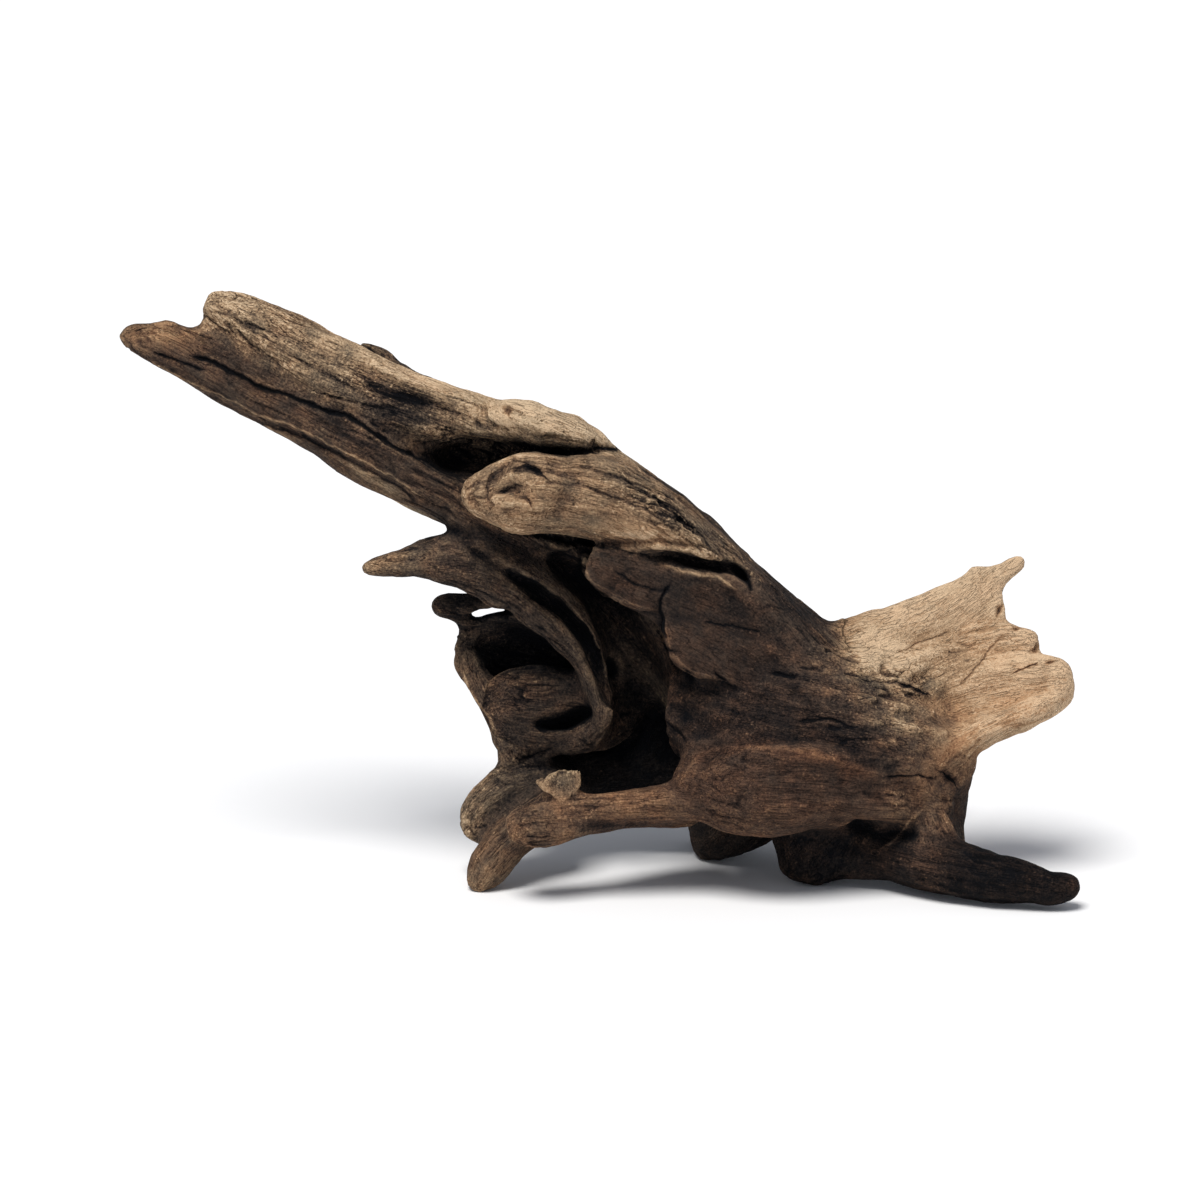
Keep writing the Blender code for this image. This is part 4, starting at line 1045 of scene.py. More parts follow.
@dataclass
class Weathering:
    """The Geometry Nodes that weather a skin along its grain.

    Its fields in small letters are the tree's named inputs. Heights, depths and pitches are in
    millimetres.

    Attributes:
        flute_height, fibre_height, lump_height: how far these rise and fall.
        crack_depth, pit_depth: how deep these are.
        flute_pitch, fibre_pitch, crack_pitch, pit_pitch, lump_pitch: how far apart these lie.
        seed: which part of the noise shows.
        FLUTE: the (stretch, detail, seed) of the broad flutes' noise.
        FIBRE: the same for the fibres.
        CRACK: the same for the cracks.
        FLUTE_SLOPE: how steeply a flute rises from its middle line.
        FLUTE_LEVEL: the height in a flute that leaves the skin where it is.
        CRACK_CORE: how wide a crack is, as a share of its noise.
        CRACK_PATCH: the (pitch, low, high, offset) of the patches in which cracks show.
        PIT_CORE: where a pit starts and where it is full, in its cell.
        PIT_PATCH: the same as CRACK_PATCH, for the pits.
        PIT_STRETCH: how a pit is squeezed along, across and into the grain.
        LIFT_GAIN: how flutes and fibres follow the roughness, as a factor and a base.
        BULGE_GAIN: how the lumps follow the roughness.
    """

    FLUTE: ClassVar[tuple[float, ...]] = (7.0, 1.0, 0.0)
    FIBRE: ClassVar[tuple[float, ...]] = (9.0, 2.0, 11.0)
    CRACK: ClassVar[tuple[float, ...]] = (10.0, 1.5, 23.0)
    FLUTE_SLOPE: ClassVar[float] = 5.0
    FLUTE_LEVEL: ClassVar[float] = 0.55
    CRACK_CORE: ClassVar[float] = 0.045
    CRACK_PATCH: ClassVar[tuple[float, ...]] = (26.0, 0.47, 0.6, 5.0)
    PIT_CORE: ClassVar[tuple[float, ...]] = (0.34, 0.08)
    PIT_PATCH: ClassVar[tuple[float, ...]] = (17.0, 0.5, 0.62, 31.0)
    PIT_STRETCH: ClassVar[tuple[float, ...]] = (0.45, 1.0, 1.0)
    LIFT_GAIN: ClassVar[tuple[float, ...]] = (1.0, 0.1)
    BULGE_GAIN: ClassVar[tuple[float, ...]] = (0.7, 0.4)

    flute_height: float = 1.1
    flute_pitch: float = 8.0
    fibre_height: float = 0.7
    fibre_pitch: float = 2.4
    crack_depth: float = 1.3
    crack_pitch: float = 5.5
    pit_depth: float = 0.4
    pit_pitch: float = 4.0
    lump_height: float = 1.5
    lump_pitch: float = 7.5
    seed: float = 3.7

    def inputs(self) -> dict[str, float]:
        """Return the name and the value of each of the tree's inputs."""
        return {item.name.replace("_", " ").title(): getattr(self, item.name) for item in fields(self)}

    def build(self) -> bpy.types.NodeTree:
        """Build the tree that moves each vertex along its normal and keeps what it did.

        Returns:
            The tree.
        """
        sockets = {"Geometry": "Geometry", **dict.fromkeys(self.inputs(), "Float")}
        graph, given = new_tree("weathering", "GeometryNodeTree", sockets, {"Geometry": "Geometry"})
        graph.tree.is_modifier = True
        noise_group = grain_noise_group("GeometryNodeTree")
        size = given.outputs
        stored = {name: graph.node("GeometryNodeInputNamedAttribute", {"Name": name},
                                   data_type="FLOAT_VECTOR").outputs["Attribute"]
                  for name in (*GRAIN_CHANNELS, "grain_mix", "tones")}
        rough = graph.split(stored["tones"])[2]
        position = graph.node("GeometryNodeInputPosition").outputs[0]

        def along(pitch: object, stretch: float, detail: float, offset: float) -> bpy.types.Node:
            """Place the grain noise group.

            Args:
                pitch: the distance between its marks across the grain.
                stretch: how much longer its marks are than wide.
                detail: its levels of detail.
                offset: how far its seed is moved.

            Returns:
                The group's node.
            """
            return graph.group(noise_group, {
                "A": stored["grain_a"], "B": stored["grain_b"], "C": stored["grain_c"], "Mix": stored["grain_mix"],
                "Pitch": pitch, "Stretch": stretch, "Detail": detail, "Seed": graph.math("ADD", size["Seed"], offset)})

        def patch(pitch: float, low: float, high: float, offset: float) -> bpy.types.NodeSocket:
            """Return slow patches, from 0 to 1, in which an effect shows."""
            place = graph.vector("ADD", position, (offset, -offset, offset))
            return graph.step(graph.noise(place, 1.0 / pitch, 3.0), low, high)

        flute = along(size["Flute Pitch"], *self.FLUTE).outputs["Line"]
        flute = graph.math("MULTIPLY", flute, self.FLUTE_SLOPE, clamp=True)
        fibre = along(size["Fibre Pitch"], *self.FIBRE).outputs["Value"]
        crack_line = along(size["Crack Pitch"], *self.CRACK).outputs["Line"]
        crack = graph.math("MULTIPLY", graph.step(crack_line, self.CRACK_CORE, 0.0), patch(*self.CRACK_PATCH))
        grain = graph.vector("MULTIPLY", stored["grain_a"], self.PIT_STRETCH)
        cell = graph.node("ShaderNodeTexVoronoi", {
            "Vector": grain, "Scale": graph.math("DIVIDE", 1.0, size["Pit Pitch"])}).outputs["Distance"]
        pit = graph.math("MULTIPLY", graph.step(cell, *self.PIT_CORE), patch(*self.PIT_PATCH))
        lump = graph.noise(position, graph.math("DIVIDE", 1.0, size["Lump Pitch"]), 3.0)
        crack = graph.math("MULTIPLY", crack, rough)
        pit = graph.math("MULTIPLY", pit, rough)
        lift = graph.swing(flute, size["Flute Height"], 0.0, self.FLUTE_LEVEL)
        lift = graph.swing(fibre, size["Fibre Height"], lift)
        lift = graph.math("MULTIPLY", lift, graph.math("MULTIPLY_ADD", rough, *self.LIFT_GAIN))
        bulge = graph.swing(lump, size["Lump Height"], 0.0)
        lift = graph.math("MULTIPLY_ADD", bulge, graph.math("MULTIPLY_ADD", rough, *self.BULGE_GAIN), lift)
        lift = graph.math("SUBTRACT", lift, graph.math("MULTIPLY", crack, size["Crack Depth"]))
        lift = graph.math("SUBTRACT", lift, graph.math("MULTIPLY", pit, size["Pit Depth"]))
        normal = graph.node("GeometryNodeInputNormal").outputs[0]
        lifts = graph.node("ShaderNodeCombineXYZ", {0: lift, 1: lift, 2: lift}).outputs[0]
        kept = graph.node("GeometryNodeSetPosition", {
            "Geometry": given.outputs["Geometry"], "Offset": graph.vector("MULTIPLY", normal, lifts)}).outputs[0]
        for name, value in (("crack", crack), ("pit", pit)):
            kept = graph.store(kept, name, value)
        graph.node("NodeGroupOutput", {"Geometry": kept})
        return graph.tree

    def apply(self, target: bpy.types.Object) -> None:
        """Weather an object's mesh, which is in the drawing frame and carries the grain."""
        run_tree(target, self.build(), self.inputs())


def run_tree(target: bpy.types.Object, tree: bpy.types.NodeTree, values: dict[str, object]) -> None:
    """Run a Geometry Nodes tree on an object and keep the result as its plain mesh.

    Args:
        target: the object.
        tree: the tree.
        values: a value for each of the tree's named inputs.
    """
    modifier = target.modifiers.new(tree.name, "NODES")
    modifier.node_group = tree
    for item in tree.interface.items_tree:
        if item.item_type == "SOCKET" and item.in_out == "INPUT" and item.name in values:
            modifier[item.identifier] = values[item.name]
    bake_modifiers(target)


@dataclass
class Shelter:
    """The Geometry Nodes that measure how closed in each vertex is; the finish paints shade into the hollows from this
    measure.

    Attributes:
        rays: the number of rays that leave each vertex.
        reach: the length of a ray in millimetres.
        lift: how far off the skin a ray starts.
    """

    rays: int = 28
    reach: float = 34.0
    lift: float = 0.4

    def build(self) -> bpy.types.NodeTree:
        """Build the tree that stores the share of rays that meet the skin again.

        Returns:
            The tree.
        """
        sockets = {"Geometry": "Geometry", "Rays": "Int", "Reach": "Float", "Lift": "Float"}
        graph, given = new_tree("shelter", "GeometryNodeTree", sockets, {"Geometry": "Geometry"})
        graph.tree.is_modifier = True
        normal = graph.node("GeometryNodeInputNormal").outputs[0]
        position = graph.node("GeometryNodeInputPosition").outputs[0]
        start_loop = graph.node("GeometryNodeRepeatInput")
        end_loop = graph.node("GeometryNodeRepeatOutput")
        start_loop.pair_with_output(end_loop)
        end_loop.repeat_items.clear()
        end_loop.repeat_items.new("FLOAT", "Met")
        graph.feed(start_loop.inputs["Iterations"], given.outputs["Rays"])
        turn = start_loop.outputs["Iteration"]
        drawn = graph.node("FunctionNodeRandomValue", {0: (-1.0, -1.0, -1.0), 1: (1.0, 1.0, 1.0), "Seed": turn},
                           data_type="FLOAT_VECTOR").outputs[0]
        ray = graph.vector("NORMALIZE", graph.vector("ADD", normal, graph.vector("NORMALIZE", drawn)))
        lift = graph.node("ShaderNodeVectorMath", {0: normal, "Scale": given.outputs["Lift"]}, operation="SCALE")
        cast = graph.node("GeometryNodeRaycast", {
            "Target Geometry": given.outputs["Geometry"], "Ray Direction": ray, "Ray Length": given.outputs["Reach"],
            "Source Position": graph.vector("ADD", position, lift.outputs[0])})
        far = graph.math("DIVIDE", cast.outputs["Hit Distance"], given.outputs["Reach"])
        closed = graph.math("MULTIPLY", cast.outputs["Is Hit"], graph.math("SUBTRACT", 1.0, far))
        graph.feed(end_loop.inputs["Met"], graph.math("ADD", start_loop.outputs["Met"], closed))
        share = graph.math("DIVIDE", end_loop.outputs["Met"], given.outputs["Rays"])
        graph.node("NodeGroupOutput", {"Geometry": graph.store(given.outputs["Geometry"], "shelter", share)})
        return graph.tree

    def apply(self, target: bpy.types.Object) -> None:
        """Store the shelter of an object's vertices on its mesh."""
        run_tree(target, self.build(), {"Rays": self.rays, "Reach": self.reach, "Lift": self.lift})


@dataclass(frozen=True)
class Pattern:
    """A noise that is drawn along the grain in the finish.

    Attributes:
        pitch: the distance between its marks across the grain, in millimetres.
        stretch: how much longer its marks are than wide.
        detail: its levels of detail.
        seed: which part of the noise it shows.
    """

    pitch: float
    stretch: float
    detail: float
    seed: float


@dataclass(frozen=True)
class WoodFinish:
    """The bare, weathered wood.

    Pitches are in millimetres. A pair of limits says where a mask starts and where it is full.

    Attributes:
        tones: the wood's colours from the darkest to the palest, as linear red, green and blue; the darkest is cooled
            to the blue black of painted shade.
        stops: the place of each colour on the scale of lightness.
        rust: the same scale for orange wood.
        ash: the same scale for grey olive wood, which also gives the grey of the painted shade; its darkest is cooled
            the same way.
        coarse, fine, fibre: the three sizes of grain.
        split, thread: the longer and the finer splits.
        mottle_pitch, speck_pitch, fleck_pitch, waver_pitch: the pitch of the clouds, the specks, the pale
            flecks and the waver of the drawn lines.
        split_core, thread_core: how wide the splits are, as a share of their noise.
        split_patch, thread_patch, fleck_core, fleck_patch: the limits of these masks.
        thread_share: how strong the finer splits are, against the longer ones.
        line_least: the least half width of a drawn line.
        line_edge, line_near: the limits of a drawn line's edge and of its end.
        roughness: how matt the wood is.
        roughness_swing: how much that changes with the fine grain.
        specular: how strongly the wood mirrors light.
        bump_height: the height of the finest fibres, in metres.
        bump_shares: the height of fibres, fine grain, specks, splits and drawn lines, as a share of that.
        pattern_depths: how much the coarse, fine and fibre grain, the mottle and the speck change the lightness.
        contrast: how the patterns' strength follows the weathering, as a factor and a base.
        hair_depth: how much the finest splits darken the wood.
        fleck_depth: how much the pale flecks brighten it.
        mark_depths: how much cracks, worn edges and shelter change the lightness.
        hue_depths: how much the coarse grain and the mottle change the hue.
        shelter_hue: how much the painted shade in sheltered hollows turns the hue to grey.
    """

    tones: tuple[tuple[float, float, float], ...] = (
        (0.0036, 0.0038, 0.0052), (0.027, 0.0198, 0.0168), (0.085, 0.058, 0.042),
        (0.205, 0.140, 0.088), (0.430, 0.290, 0.170), (0.720, 0.530, 0.340))
    rust: tuple[tuple[float, float, float], ...] = (
        (0.0040, 0.0033, 0.0034), (0.036, 0.019, 0.013), (0.115, 0.056, 0.034),
        (0.270, 0.135, 0.070), (0.500, 0.280, 0.145), (0.760, 0.520, 0.320))
    ash: tuple[tuple[float, float, float], ...] = (
        (0.0032, 0.0038, 0.0056), (0.020, 0.0190, 0.0185), (0.062, 0.054, 0.043),
        (0.160, 0.138, 0.100), (0.360, 0.300, 0.210), (0.660, 0.570, 0.420))
    stops: tuple[float, ...] = (0.0, 0.2, 0.4, 0.6, 0.8, 1.0)
    coarse: Pattern = Pattern(5.0, 4.0, 3.0, 1.0)
    fine: Pattern = Pattern(1.5, 6.0, 4.0, 7.0)
    fibre: Pattern = Pattern(0.5, 9.0, 2.0, 13.0)
    split: Pattern = Pattern(1.7, 9.0, 1.0, 19.0)
    thread: Pattern = Pattern(0.9, 11.0, 1.0, 29.0)
    mottle_pitch: float = 9.0
    speck_pitch: float = 0.8
    fleck_pitch: float = 1.6
    waver_pitch: float = 1.2
    split_core: float = 0.030
    split_patch: tuple[float, float] = (0.40, 0.56)
    thread_core: float = 0.034
    thread_patch: tuple[float, float] = (0.42, 0.55)
    thread_share: float = 0.8
    fleck_core: tuple[float, float] = (0.60, 0.70)
    fleck_patch: tuple[float, float] = (0.45, 0.58)
    line_least: float = 0.02
    line_edge: tuple[float, float] = (1.3, 0.6)
    line_near: tuple[float, float] = (0.45, 0.6)
    roughness: float = 0.86
    roughness_swing: float = 0.16
    specular: float = 0.1
    bump_height: float = 0.0014
    bump_shares: tuple[float, ...] = (0.5, 0.8, 0.7, -0.7, 4.0)
    pattern_depths: tuple[float, ...] = (0.32, 0.32, 0.42, 0.62, 0.95)
    contrast: tuple[float, float] = (1.05, 0.28)
    hair_depth: float = -0.19
    fleck_depth: float = 0.22
    mark_depths: tuple[float, float, float] = (-0.30, 0.30, -0.38)
    hue_depths: tuple[float, float] = (0.9, 1.9)
    shelter_hue: float = -0.7

    def material(self) -> bpy.types.Material:
        """Build the material.

        Returns:
            The material, which reads the attributes that the skin's making leaves on its mesh.
        """
        made = bpy.data.materials.new("weathered_wood_fine")
        made.use_nodes = True
        made.node_tree.nodes.clear()
        graph = Graph(made.node_tree)
        noise_group = bpy.data.node_groups.get("grain_noise_shader") or grain_noise_group("ShaderNodeTree")
        stored = {name: graph.node("ShaderNodeAttribute", attribute_name=name).outputs["Vector"]
                  for name in (*GRAIN_CHANNELS, "grain_mix", "tones", "marks", "line")}
        ink = graph.node("ShaderNodeAttribute", attribute_name="ink").outputs["Fac"]
        lightness, redness, weathered = graph.split(stored["tones"])
        # The marks hold the cracks with painted shade in the folds, the worn edges, and painted shade in the sheltered
        # hollows.
        cracks_and_fold_shade, worn, painted_shade = graph.split(stored["marks"])
        place = graph.node("ShaderNodeTexCoord").outputs["Object"]

        def along(pattern: Pattern) -> bpy.types.NodeOutputs:
            """Place the grain noise group in the material.

            Args:
                pattern: the pattern to draw.

            Returns:
                The group's outputs.
            """
            vectors = dict(zip("ABC", (stored[name] for name in GRAIN_CHANNELS)))
            return graph.group(noise_group, {
                **vectors, "Mix": stored["grain_mix"], "Pitch": pattern.pitch, "Stretch": pattern.stretch,
                "Detail": pattern.detail, "Seed": pattern.seed}).outputs

        def cloud(pitch: float, detail: float, rough: float = 0.5) -> bpy.types.NodeSocket:
            """Return a noise that has no direction."""
            return graph.noise(place, 1.0 / (pitch * MM), detail, rough)

        coarse, fine, fibre = (along(pattern)["Value"] for pattern in (self.coarse, self.fine, self.fibre))
        mottle, speck = cloud(self.mottle_pitch, 6.0, 0.7), cloud(self.speck_pitch, 3.0, 0.7)
        change: object = 0.0
        for value, depth in zip((coarse, fine, fibre, mottle, speck), self.pattern_depths):
            change = graph.swing(value, depth, change)
        contrast = graph.math("MULTIPLY_ADD", weathered, *self.contrast)
        light = graph.math("MULTIPLY_ADD", change, contrast, lightness)
        split = graph.math("MULTIPLY", graph.step(along(self.split)["Line"], self.split_core, 0.0),
                           graph.step(mottle, *self.split_patch))
        thread = graph.math("MULTIPLY", graph.step(along(self.thread)["Line"], self.thread_core, 0.0),
                            graph.step(coarse, *self.thread_patch))
        hair = graph.math("MAXIMUM", split, graph.math("MULTIPLY", thread, self.thread_share))
        light = graph.math("MULTIPLY_ADD", graph.math("MULTIPLY", hair, graph.math("MULTIPLY", contrast, contrast)),
                           self.hair_depth, light)
        fleck = graph.math("MULTIPLY", graph.step(cloud(self.fleck_pitch, 2.0), *self.fleck_core),
                           graph.step(coarse, *self.fleck_patch))
        fleck = graph.math("MULTIPLY", fleck, graph.math("SUBTRACT", 1.0, painted_shade, clamp=True))
        light = graph.math("MULTIPLY_ADD", graph.math("MULTIPLY", fleck, contrast), self.fleck_depth, light)
        line = self._sharp_line(graph, graph.split(stored["line"]), cloud(self.waver_pitch, 2.0))
        light = graph.math("MULTIPLY_ADD", line, ink, light)
        light = graph.math("MULTIPLY_ADD", cracks_and_fold_shade, self.mark_depths[0], light)
        light = graph.math("MULTIPLY_ADD", worn, self.mark_depths[1], light)
        # Painted shade darkens the sheltered hollows.
        light = graph.math("MULTIPLY_ADD", painted_shade, self.mark_depths[2], light, clamp=True)
        hue = graph.swing(coarse, self.hue_depths[0], redness)
        hue = graph.swing(mottle, self.hue_depths[1], hue)
        # Painted shade turns the hue of the sheltered hollows to grey.
        hue = graph.math("MULTIPLY_ADD", painted_shade, self.shelter_hue, hue)
        plain, orange, grey = (self._scale(graph, light, tones) for tones in (self.tones, self.rust, self.ash))
        colour = graph.mix(graph.math("MAXIMUM", hue, 0.0, clamp=True), plain, orange)
        colour = graph.mix(graph.math("MULTIPLY", hue, -1.0, clamp=True), colour, grey)
        sunk = graph.math("MULTIPLY", line, graph.math("MINIMUM", ink, 0.0))
        height: object = 0.0
        for value, share in zip((fibre, fine, speck, hair, sunk), self.bump_shares):
            height = graph.math("MULTIPLY_ADD", value, share, height)
        bump = graph.node("ShaderNodeBump", {"Height": height, "Strength": 1.0, "Distance": self.bump_height})
        roughness = graph.math("MULTIPLY_ADD", fine, self.roughness_swing,
                               self.roughness - self.roughness_swing / 2, clamp=True)
        surface = graph.node("ShaderNodeBsdfPrincipled", {
            "Base Color": colour, "Roughness": roughness, "Normal": bump.outputs[0]})
        surface.inputs["Specular IOR Level"].default_value = self.specular
        graph.node("ShaderNodeOutputMaterial", {"Surface": surface.outputs[0]})
        return made

    def _sharp_line(self, graph: Graph, line: bpy.types.NodeOutputs,
                    waver: bpy.types.NodeSocket) -> bpy.types.NodeSocket:
        """Return 1 on the strokes' sharp lines and 0 off them.

        Args:
            graph: the material's graph.
            line: the split (distance, half width, nearness) of the nearest line.
            waver: a noise that changes the line's width.

        Returns:
            The lines' mask.
        """
        half = graph.math("MAXIMUM", graph.math("MULTIPLY", line[1], graph.math("ADD", waver, 0.5)), self.line_least)
        share = graph.math("DIVIDE", graph.math("ABSOLUTE", line[0]), half)
        return graph.math("MULTIPLY", graph.step(share, *self.line_edge), graph.step(line[2], *self.line_near))

    def _scale(self, graph: Graph, light: bpy.types.NodeSocket,
               tones: tuple[tuple[float, float, float], ...]) -> bpy.types.NodeSocket:
        """Look up a colour on one of the wood's scales.

        Args:
            graph: the material's graph.
            light: the lightness.
            tones: the scale's colours.

        Returns:
            The colour at that lightness.
        """
        ramp = graph.node("ShaderNodeValToRGB", {0: light})
        elements = ramp.color_ramp.elements
        while len(elements) < len(tones):
            elements.new(0.5)
        for element, stop, tone in zip(elements, self.stops, tones):
            element.position = stop
            element.color = (*tone, 1.0)
        return ramp.outputs[0]


@dataclass
class RootSkin:
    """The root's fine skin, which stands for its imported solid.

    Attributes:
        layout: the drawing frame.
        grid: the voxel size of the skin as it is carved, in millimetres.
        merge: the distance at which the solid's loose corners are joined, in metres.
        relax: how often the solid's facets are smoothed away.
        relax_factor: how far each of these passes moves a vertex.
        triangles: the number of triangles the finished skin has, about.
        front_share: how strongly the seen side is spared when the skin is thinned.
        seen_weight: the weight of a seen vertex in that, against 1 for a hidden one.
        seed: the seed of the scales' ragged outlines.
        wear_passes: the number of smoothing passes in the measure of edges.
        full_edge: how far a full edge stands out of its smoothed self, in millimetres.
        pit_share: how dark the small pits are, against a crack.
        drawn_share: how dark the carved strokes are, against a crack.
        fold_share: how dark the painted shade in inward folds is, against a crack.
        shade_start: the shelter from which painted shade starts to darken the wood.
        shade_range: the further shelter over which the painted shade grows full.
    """

    layout: Layout
    grid: float = 0.72
    merge: float = 1e-6
    relax: int = 6
    relax_factor: float = 0.5
    triangles: int = 196000
    front_share: float = 0.2
    seen_weight: float = 0.5
    seed: int = 5
    wear_passes: int = 3
    full_edge: float = 0.8
    pit_share: float = 0.6
    drawn_share: float = 0.5
    fold_share: float = 0.8
    shade_start: float = 0.12
    shade_range: float = 0.6

    def _copy_solid(self) -> bpy.types.Object:
        """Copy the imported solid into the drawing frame.

        Returns:
            The copy, with its loose triangles joined.
        """
        work = bmesh.new()
        work.from_mesh(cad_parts[NODE].data)
        bmesh.ops.remove_doubles(work, verts=work.verts, dist=self.merge)
        data = bpy.data.meshes.new("root_skin")
        work.to_mesh(data)
        work.free()
        set_points(data, self.layout.to_drawing(named_array(data, "co", 3)))
        return place_object("root_skin", data)

    def _refine(self, skin: bpy.types.Object) -> None:
        """Round the solid's facets, grow the flakes into it and give it an even, fine grid.

        Args:
            skin: the copy of the solid.
        """
        rounding = skin.modifiers.new("round", "SUBSURF")
        rounding.levels = rounding.render_levels = 1
        bake_modifiers(skin)
        points = named_array(skin.data, "co", 3)
        rise = sum(swell.lift(points) for swell in SWELLS.values())
        set_points(skin.data, points + rise[:, None] * named_array(skin.data, "normal", 3))
        tree = skin_tree(skin.data)
        chance = random.Random(self.seed)
        work = bmesh.new()
        work.from_mesh(skin.data)
        for flake in FLAKES.values():
            flake.add_to(work)
        for scale in SCALES:
            scale.add_to(work, tree, Vector(self.layout.eye()), chance)
        work.to_mesh(skin.data)
        work.free()
        remesh = skin.modifiers.new("fine", "REMESH")
        remesh.mode = "VOXEL"
        remesh.voxel_size = self.grid
        smooth = skin.modifiers.new("relax", "SMOOTH")
        smooth.factor = self.relax_factor
        smooth.iterations = self.relax
        bake_modifiers(skin)

    def _thin(self, skin: bpy.types.Object, hidden: np.ndarray) -> None:
        """Reduce the carved skin to its number of triangles, most of them where it bends.

        Args:
            skin: the carved skin.
            hidden: whether the viewer does not see a vertex, for each vertex.
        """
        count = sum(len(face.vertices) - 2 for face in skin.data.polygons)
        group = skin.vertex_groups.new(name="spare")
        group.add(np.flatnonzero(hidden).tolist(), 1.0, "REPLACE")
        group.add(np.flatnonzero(~hidden).tolist(), self.seen_weight, "REPLACE")
        thin = skin.modifiers.new("thin", "DECIMATE")
        thin.ratio = min(1.0, self.triangles / count)
        thin.vertex_group = group.name
        thin.vertex_group_factor = self.front_share
        thin.use_collapse_triangulate = True
        bake_modifiers(skin)

    def _stand_on_floor(self, skin: bpy.types.Object) -> None:
        """Move the skin to the world and press what lies below the floor onto it.

        Args:
            skin: the skin, in the drawing frame.
        """
        points = self.layout.to_world(named_array(skin.data, "co", 3))
        points[:, 2] = np.maximum(points[:, 2], 0.0)
        set_points(skin.data, points)

    def _edges(self, mesh: bpy.types.Mesh) -> np.ndarray:
        """Measure the skin's edges and folds.

        Args:
            mesh: the skin's mesh, in the drawing frame.

        Returns:
            How sharply the skin bends outwards at each vertex, from -1 to 1.
        """
        points = named_array(mesh, "co", 3)
        normals = named_array(mesh, "normal", 3)
        ends = np.empty(len(mesh.edges) * 2, dtype=np.int32)
        mesh.edges.foreach_get("vertices", ends)
        first, second = ends.reshape(-1, 2).T
        count = np.bincount(ends, minlength=len(points))[:, None]

        def neighbours(values: np.ndarray) -> np.ndarray:
            """Average over neighbours.

            Args:
                values: one row a vertex.

            Returns:
                The mean of each vertex's neighbours.
            """
            total = np.zeros_like(values)
            for column in range(values.shape[1]):
                total[:, column] = (np.bincount(first, values[second, column], len(points))
                                    + np.bincount(second, values[first, column], len(points)))
            return total / np.maximum(count, 1)

        level = points.copy()
        for _ in range(self.wear_passes * 2):
            level = neighbours(level)
        return np.clip(((points - level) * normals).sum(axis=1) / self.full_edge, -1.0, 1.0)

    def _mark(self, skin: bpy.types.Object, grain: GrainField, carving: FrontCarving) -> None:
        """Store what the finish reads on the thinned skin.

        Args:
            skin: the skin, still in the drawing frame.
            grain: the grain field.
            carving: the strokes.
        """
        grain.mark(skin.data)
        carving.apply(skin.data, carve=False)
        Shelter().apply(skin)
        mesh = skin.data
        own = named_array(mesh, "crack", 1)
        pit = named_array(mesh, "pit", 1) * self.pit_share
        drawn = named_array(mesh, "stroke_crack", 1) * self.drawn_share
        shelter = named_array(mesh, "shelter", 1)
        edges = self._edges(mesh)
        # Painted shade: inward folds darken along with the cracks, as shade in a crease.
        crack = np.maximum(np.maximum(own, pit), drawn) + np.clip(-edges, 0.0, 1.0) * self.fold_share
        wear = np.clip(edges, 0.0, 1.0)
        # Painted shade: the more sheltered a vertex is, the darker it is coloured; this is the third column of the
        # marks.
        dark = np.clip((shelter - self.shade_start) / self.shade_range, 0.0, 1.0)
        put_attribute(mesh, "marks", np.column_stack([np.clip(crack, 0.0, 1.0), wear, dark]))

    def build(self, grain: GrainField, finish: WoodFinish) -> bpy.types.Object:
        """Build the skin and dress it.

        Args:
            grain: the grain field.
            finish: the wood's finish.

        Returns:
            The finished piece, at the origin, with its place in its mesh.
        """
        carving = FrontCarving(self.layout)
        skin = self._copy_solid()
        self._refine(skin)
        LOG.info("root_skin: %d vertices before carving", len(skin.data.vertices))
        grain.mark(skin.data)
        carving.apply(skin.data, carve=True)
        Weathering().apply(skin)
        self._thin(skin, carving.seen(skin.data) <= 0.0)
        self._mark(skin, grain, carving)
        self._stand_on_floor(skin)
        skin.data.materials.clear()
        skin.data.materials.append(finish.material())
        skin.data.shade_smooth()
        return skin


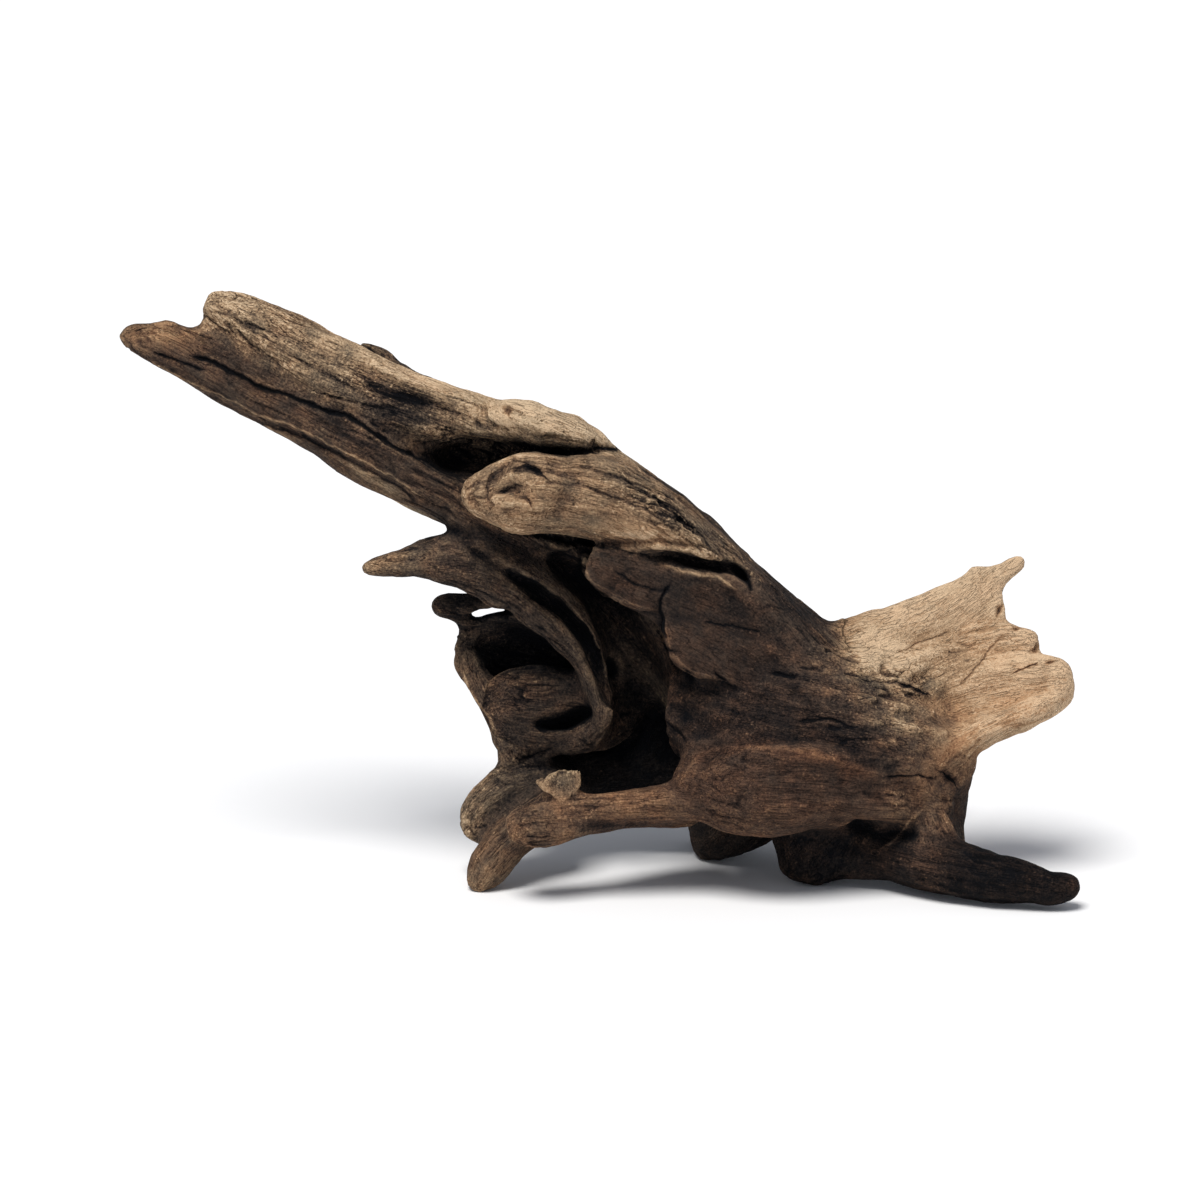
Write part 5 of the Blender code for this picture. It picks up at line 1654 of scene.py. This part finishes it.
@dataclass
class Studio:
    """A plain pale floor, a soft light from above and a little to the left, and the viewer's camera.

    Attributes:
        layout: the drawing frame, which gives the camera its place.
        floor_side: the floor's width in metres.
        floor_tone: the floor's lightness and its roughness.
        lens: the camera's lens in millimetres.
        sensor: the width of the camera's sensor in millimetres.
        clip_end: the greatest distance that the camera sees, in metres.
        key_place: the direction that the main light comes from.
        key_softness_deg: the main light's angle as seen from the root.
        key_strength: the main light's strength in watts per square metre.
        key_colour: the main light's colour.
        sky: the strength of the even light from all round.
        sky_colour: the even light's colour.
    """

    layout: Layout
    floor_side: float = 14.0
    floor_tone: tuple[float, float] = (0.90, 0.9)
    lens: float = 200.0
    sensor: float = 36.0
    clip_end: float = 50.0
    key_place: tuple[float, float, float] = (-0.22, -0.32, 1.0)
    key_softness_deg: float = 30.0
    key_strength: float = 3.0
    key_colour: tuple[float, float, float] = (1.02, 1.0, 0.975)
    sky: float = 0.34
    sky_colour: tuple[float, float, float] = (0.90, 0.96, 1.08)

    def camera(self) -> None:
        """Place the camera at the viewer's eye."""
        data = bpy.data.cameras.new("viewer")
        data.lens = self.lens
        data.sensor_width = self.sensor
        data.clip_end = self.clip_end
        made = place_object("viewer", data)
        eye = Vector(self.layout.to_world(self.layout.eye()[None, :])[0])
        middle = Vector(self.layout.to_world(np.array([[0.0, 0.0, self.layout.view_height]]))[0])
        made.location = eye
        made.rotation_euler = (middle - eye).to_track_quat("-Z", "Y").to_euler()
        bpy.context.scene.camera = made

    def floor(self) -> None:
        """Lay the pale floor."""
        work = bmesh.new()
        bmesh.ops.create_grid(work, x_segments=1, y_segments=1, size=self.floor_side / 2)
        data = bpy.data.meshes.new("floor")
        work.to_mesh(data)
        work.free()
        made = place_object("floor", data)
        material = bpy.data.materials.new("pale_floor")
        material.use_nodes = True
        surface = material.node_tree.nodes["Principled BSDF"]
        surface.inputs["Base Color"].default_value = (*[self.floor_tone[0]] * 3, 1.0)
        surface.inputs["Roughness"].default_value = self.floor_tone[1]
        data.materials.append(material)

    def light(self) -> None:
        """Hang the main light, which is soft, even and far away."""
        data = bpy.data.lights.new("key", "SUN")
        data.angle = math.radians(self.key_softness_deg)
        data.color = self.key_colour
        data.energy = self.key_strength
        made = place_object("key", data)
        made.rotation_euler = (-Vector(self.key_place)).to_track_quat("-Z", "Y").to_euler()

    def sky_light(self) -> None:
        """Give the world its even light from all round."""
        world = bpy.data.worlds.new("studio")
        world.use_nodes = True
        background = world.node_tree.nodes["Background"]
        background.inputs["Color"].default_value = (*self.sky_colour, 1.0)
        background.inputs["Strength"].default_value = self.sky
        bpy.context.scene.world = world

    def build(self) -> None:
        """Set up the floor, the lights and the camera, and show colours as they are."""
        self.floor()
        self.light()
        self.sky_light()
        bpy.context.scene.view_settings.view_transform = "Standard"
        self.camera()


def main() -> None:
    """Build the root's looks and the studio round it."""
    logging.basicConfig(level=logging.INFO, format="%(name)s: %(message)s")
    layout = Layout()
    finish = WoodFinish()
    skin = RootSkin(layout).build(GrainField(), finish)
    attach(skin, "root")
    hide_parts(NODE)
    LOG.info("root_skin: %d triangles", len(skin.data.polygons))
    Studio(layout).build()


if __name__ == "__main__":
    main()
